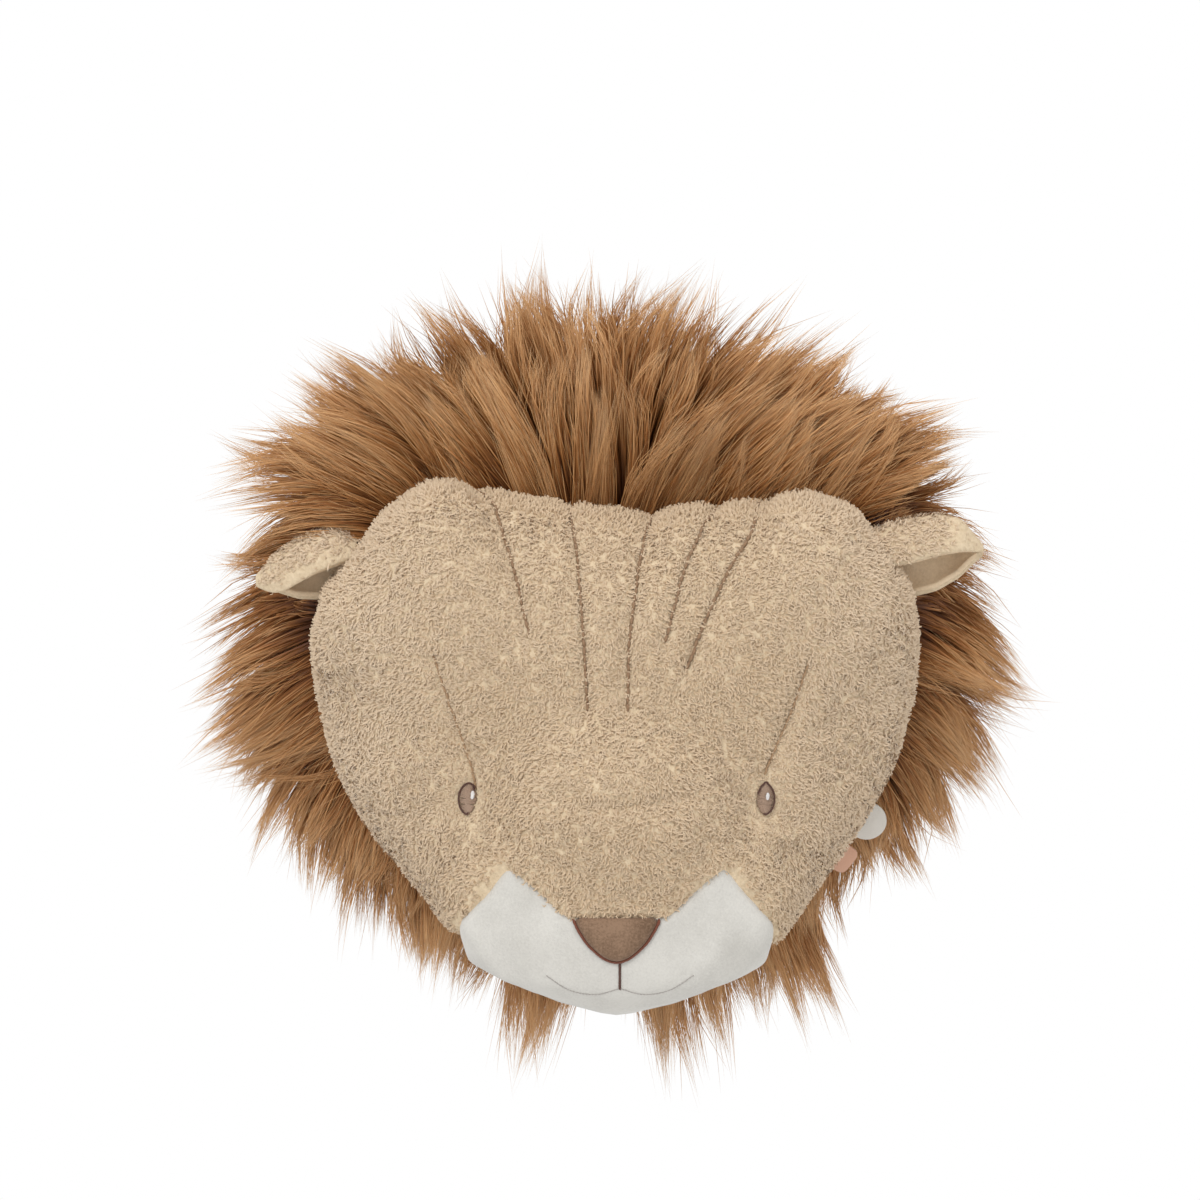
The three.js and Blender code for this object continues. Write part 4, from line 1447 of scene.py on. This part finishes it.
def make_mane():
    """The backing and the fur, in four fields whose strands draw together to their own guide locks."""
    mesh, angles, shares = collar_mesh("mane_backing")
    backing = add_mesh("mane_backing", mesh.copy(), MANE_BACKING_PAINTED_SHADE)
    smooth_shading(backing.data)
    ride(backing, "mane_fur", "mane")
    locks = guides("locks", LOCKS_IN_RING, 5, UNRULY)
    crown_locks = guides("crown_locks", CROWN_LOCKS_IN_RING, 14, 1.0)
    chin_locks = guides("chin_locks", 0, 7, 0.3, CHIN_LOCKS)
    tufts = guides("tufts", LOCKS_IN_RING * TUFTS_PER_LOCK, 6, UNRULY)
    middle, tip = fur_lie(angles, shares)
    on_rings = np.arange(len(angles)) < len(angles) - 2
    growing = np.where(on_rings, 0.75 + 0.5 * eased(shares, 0.3, 0.9), 0.0)
    growing *= np.interp(np.sin(angles), (-1.0, -0.5, 0.0), (0.8, 0.9, 1.0))
    growing *= 1.0 - near_ears(angles) * eased(shares, 0.86, 0.94)
    growing *= 1.0 - 0.93 * near_angle(angles, *CHIN_GAP, 0.05)
    hold = 1.0 - 0.3 * eased(shares, 0.6, 0.95) * eased(np.sin(angles), 0.1, 0.7)
    for field, facing, gathered, pull in (
        ("top", 90.0, crown_locks, CROWN_LOCK_PULL),
        ("left", 180.0, locks, LOCK_PULL),
        ("chin", 270.0, chin_locks, CHIN_LOCK_PULL),
        ("right", 0.0, locks, LOCK_PULL),
    ):
        away = np.abs((np.degrees(angles) - facing + 180.0) % 360.0 - 180.0)
        ground = add_mesh("ground", mesh.copy())
        set_attribute(ground.data, "cover", growing * (away <= 45.01))
        set_attribute(ground.data, "hold", hold)
        # Painted shade: the fur is darker at the sides and below than on top, where more light falls.
        set_attribute(ground.data, "shade", 0.58 + 0.42 * eased(np.sin(angles), 0.25, 0.85))
        set_attribute(ground.data, "middle", middle)
        set_attribute(ground.data, "tip", tip)
        fur = grown("mane_fur_" + field, FUR_GROWTH, ground, {
            "Strand": fur_shape, "Tufts": tufts, "Locks": gathered,
            "Density": FUR_DENSITY, "Width": FUR_WIDTH, "Tuft pull": TUFT_PULL,
            "Lock pull": pull, "Frizz": FUR_FRIZZ, "Seed": 9, "Material": FUR,
        })
        ride(plain(fur), "mane_fur")
        drop(ground)
    drop(locks, crown_locks, chin_locks, tufts)
    bpy.data.meshes.remove(mesh)


make_mane()


# Ears

EAR_STEPS = 24
EAR_ROUND = 28
EAR_PLACES = (0.0, 0.2, 0.4, 0.6, 0.8, 1.0)
EAR_IN = 0.0022  # how far the middle of the plush lies inside the solid ear
EAR_THICK = 0.0042
LINING_IN = 0.0038
LINING_THICK = 0.0028
LINING_LAP = 3.0  # degrees by which the lining laps over the rims of the fold
BARE_THIN = 0.94  # how much of the pile is missing where the plush is bare

# "bare_tip" says between which shares of the ear's length its pile thins out towards the tip, and "bare_rim"
# between how many degrees from its front rim the pile sets in. The rows are given at EAR_PLACES, from root
# to tip: the height of the ear's middle over its box's, half its height, and where its folded sheet starts
# in front and ends at the back, in degrees from straight ahead, over the top.
EAR_LEFT = {
    "side": -1.0,
    "inward": 0.0045,
    "bare_tip": (0.8, 1.0),
    "bare_rim": (9.0, 26.0),
    "middle": (0.0015, 0.0020, 0.0010, -0.0010, -0.0030, -0.0055),
    "half": (0.0140, 0.0180, 0.0176, 0.0155, 0.0115, 0.0028),
    "start": (35.0, 14.0, 4.0, -10.0, -35.0, -60.0),
    "end": (262.0, 262.0, 262.0, 260.0, 250.0, 225.0),
}
EAR_RIGHT = {
    "side": 1.0,
    "inward": 0.0015,
    "bare_tip": (0.56, 0.74),
    "bare_rim": (6.0, 16.0),
    "middle": (-0.0045, -0.0035, -0.0020, 0.0, 0.0022, 0.0015),
    "half": (0.0168, 0.0192, 0.0204, 0.0198, 0.0158, 0.0030),
    "start": (4.0, 6.0, 8.0, 12.0, 12.0, 10.0),
    "end": (264.0, 264.0, 264.0, 264.0, 262.0, 250.0),
}


def ear_measures(ear, u):
    """The ear's middle, half height, start and end at a share of its length."""
    smooth_u = u * u * (3 - 2 * u) * 0.15 + u * 0.85
    return [np.interp(smooth_u, EAR_PLACES, ear[key]) for key in ("middle", "half", "start", "end")]


def ear_sheet(node, ear, shrink, lap=0.0):
    """A leaf folded over its length, which opens down, as rows of points from its root to its tip."""
    low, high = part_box(node)
    centre = (low + high) / 2
    reach = (high.y - low.y) / 2 - 0.001
    side = ear["side"]
    root = centre.x - side * ((high.x - low.x) / 2 + ear["inward"])
    rows = []
    for u in np.linspace(0.0, 1.0, EAR_STEPS + 1):
        middle, half, start, end = (float(measure) for measure in ear_measures(ear, u))
        round_off = math.sqrt(max(1.0 - max(0.0, (u - 0.72) / 0.28) ** 2, 0.0))
        depth = reach * (0.35 + 0.65 * min(1.0, half / 0.017)) * (0.25 + 0.75 * round_off)
        rise = half - shrink
        depth = max(depth - shrink, 0.0008)
        heart = Vector((root + side * (high.x - low.x) * u * 0.985, centre.y, centre.z + middle))
        turns = np.radians(np.linspace(start - lap, end + lap, EAR_ROUND + 1))
        rows.append([
            heart + Vector((0.0, -depth * math.cos(turn), rise * math.sin(turn)))
            for turn in turns
        ])
    return rows


def leaf(name, rows, thickness, material):
    """A closed padded sheet along rows of points."""
    work = bmesh.new()
    grid = [[work.verts.new(point) for point in row] for row in rows]
    for lower, upper in zip(grid[:-1], grid[1:]):
        for k in range(len(lower) - 1):
            work.faces.new((lower[k], lower[k + 1], upper[k + 1], upper[k]))
    bmesh.ops.remove_doubles(work, verts=work.verts, dist=1e-5)
    bmesh.ops.recalc_face_normals(work, faces=work.faces)
    made = add_mesh(name, mesh_of(work, name))
    wall = made.modifiers.new("wall", "SOLIDIFY")
    wall.thickness = thickness
    wall.offset = 0.0
    finer = made.modifiers.new("finer", "SUBSURF")
    finer.levels = finer.render_levels = 1
    applied(made)
    turn_out(made.data)
    smooth_shading(made.data)
    dress(made.data, material)
    return made


def make_ear(name, ear):
    """A plush ear with its velour lining, and pile on its outer side that thins out at the rim and tip."""
    side = ear["side"]
    cover = leaf(name + "_cover", ear_sheet(name, ear, EAR_IN), EAR_THICK, PLUSH)
    ride(cover, "beige_plush", name)
    inside = ear_sheet(name, ear, LINING_IN, LINING_LAP)[:-1]
    lining = leaf(name + "_lining_cover", inside, LINING_THICK, EAR_LINING_PAINTED_LIGHT)
    ride(lining, "ear_velour", name + "_lining")
    ground = add_mesh("ear_ground", cover.data.copy())
    points, normals = points_of(ground.data), normals_of(ground.data)
    low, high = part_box(name)
    centre = np.array((low + high) / 2)
    outward = points - centre
    outward[:, 0] = 0.0
    facing = np.sum(outward * normals, axis=1) / np.maximum(np.linalg.norm(outward, axis=1), 1e-6)
    u = np.clip((points[:, 0] * side - min(low.x * side, high.x * side)) / (high.x - low.x), 0.0, 1.0)
    middle, half, start, _ = ear_measures(ear, u)
    rolled = np.degrees(np.arctan2(
        (points[:, 2] - centre[2] - middle) / half, (centre[1] - points[:, 1]) / ((high.y - low.y) / 2)
    ))
    smooth = np.maximum(1.0 - eased(rolled - start, *ear["bare_rim"]), eased(u, *ear["bare_tip"]))
    set_attribute(ground.data, "cover", eased(facing, 0.3, 0.6) * (1.0 - BARE_THIN * smooth))
    set_attribute(ground.data, "length", 0.95 - 0.45 * eased(u, 0.45, 0.95))
    set_attribute(ground.data, "shade", np.clip(0.75 + 0.2 * ripple(points, 0.01, 51), 0.0, 1.0))
    set_attribute(ground.data, "raise", np.zeros(len(points)))
    set_attribute(ground.data, "nap", np.tile((side * 0.7, -0.1, 0.1), (len(points), 1)))
    pile = grown(name + "_pile", PILE_GROWTH, ground, {
        "Tuft": tuft_shape, "Density": EAR_PILE_DENSITY, "Length": PILE_LENGTH, "Width": PILE_WIDTH,
        "Swirl": PILE_SWIRL, "Seed": 4, "Material": PILE,
    })
    ride(plain(pile), "beige_plush")
    drop(ground)


make_ear("ear_left", EAR_LEFT)
make_ear("ear_right", EAR_RIGHT)


# Labels and board

def soft_edged(name, node, material, slot, bevel, segments=2, aside=(0.0, 0.0, 0.0)):
    """A thin CAD sheet with its edges rounded over, moved aside by a little."""
    made = add_mesh(name, merged_copy([node], name))
    move_points(made.data, points_of(made.data) + aside)
    work = bmesh.new()
    work.from_mesh(made.data)
    bmesh.ops.dissolve_limit(work, angle_limit=math.radians(1.0), verts=work.verts, edges=work.edges)
    work.to_mesh(made.data)
    work.free()
    edge = made.modifiers.new("edge", "BEVEL")
    edge.width = bevel
    edge.segments = segments
    edge.limit_method = "ANGLE"
    edge.angle_limit = math.radians(40.0)
    applied(made)
    smooth_shading(made.data)
    dress(made.data, material)
    return ride(made, slot, node)


soft_edged("round_label", "round_tag", LABEL, "round_label", 0.0004)
soft_edged("tape_tab", "side_tab", TAPE, "peach_tape", 0.0005, aside=(0.004, 0.0, -0.001))
soft_edged("covered_board", "back_board", BACKING, "felt_backing", 0.0012, 3)
drop(tuft_shape, fur_shape, STITCH)


# Floor and light

FLOOR_LEVEL = -0.75
FLOOR_REACH = 30.0
ROOM_LOW = 0.48
ROOM_HIGH = 1.15
KEY_POWER = 32.0
FILL_POWER = 3.0


def make_floor():
    """A pale floor far below, which the camera sees as plain white."""
    mesh = bpy.data.meshes.new("floor")
    turns = ((-1, -1), (1, -1), (1, 1), (-1, 1))
    corners = [(x * FLOOR_REACH, y * FLOOR_REACH, FLOOR_LEVEL) for x, y in turns]
    mesh.from_pydata(corners, [], [(0, 1, 2, 3)])
    finish = Finish("pale_floor", roughness=0.9, specular_ior_level=0.1)
    finish.shader.inputs["Base Color"].default_value = (0.8, 0.8, 0.8, 1.0)
    glow = finish.node("ShaderNodeEmission", {}, {"Color": (1.0, 1.0, 1.0, 1.0), "Strength": 1.0})
    seen = finish.node("ShaderNodeLightPath", {}, {}, "Is Camera Ray")
    dull = Wire(finish, finish.shader.outputs[0])
    shown = finish.node("ShaderNodeMixShader", {}, {0: seen, 1: dull, 2: glow})
    leave = finish.tree.nodes["Material Output"]
    finish.tree.links.new(shown.socket, leave.inputs["Surface"])
    add_mesh("floor", mesh, finish.material)


def area_light(name, place, target, size, power):
    """A white round lamp that is aimed at a target."""
    data = bpy.data.lights.new(name, "AREA")
    data.shape = "DISK"
    data.size = size
    data.energy = power
    lamp = bpy.data.objects.new(name, data)
    scene.collection.objects.link(lamp)
    lamp.location = place
    lamp.rotation_euler = (Vector(place) - Vector(target)).to_track_quat("Z", "Y").to_euler()


def make_light():
    """A bright studio: white behind, with more light from above than from the sides and below."""
    world = bpy.data.worlds.new("soft_room")
    world.use_nodes = True
    tree = Tree(world.node_tree)
    background = world.node_tree.nodes["Background"]
    background.inputs["Color"].default_value = (1.0, 1.0, 1.0, 1.0)
    way = tree.node("ShaderNodeTexCoord", {}, {}, "Generated")
    height = tree.node("ShaderNodeSeparateXYZ", {}, {0: way}, "Z")
    glow = tree.node("ShaderNodeMapRange", {},
                     {"Value": height, 1: -0.3, 2: 1.0, 3: ROOM_LOW, 4: ROOM_HIGH})
    seen = tree.node("ShaderNodeLightPath", {}, {}, "Is Camera Ray")
    level = tree.node("ShaderNodeMix", {"data_type": "FLOAT"}, {0: seen, 2: glow, 3: 1.0}, 0)
    world.node_tree.links.new(level.socket, background.inputs["Strength"])
    scene.world = world
    area_light("key", (-0.9, -1.7, 2.4), (0.0, -0.1, 0.0), 1.2, KEY_POWER)
    area_light("fill", (1.6, -1.8, 0.6), (0.0, -0.1, 0.0), 1.6, FILL_POWER)
    scene.view_settings.view_transform = "Standard"


make_floor()
make_light()
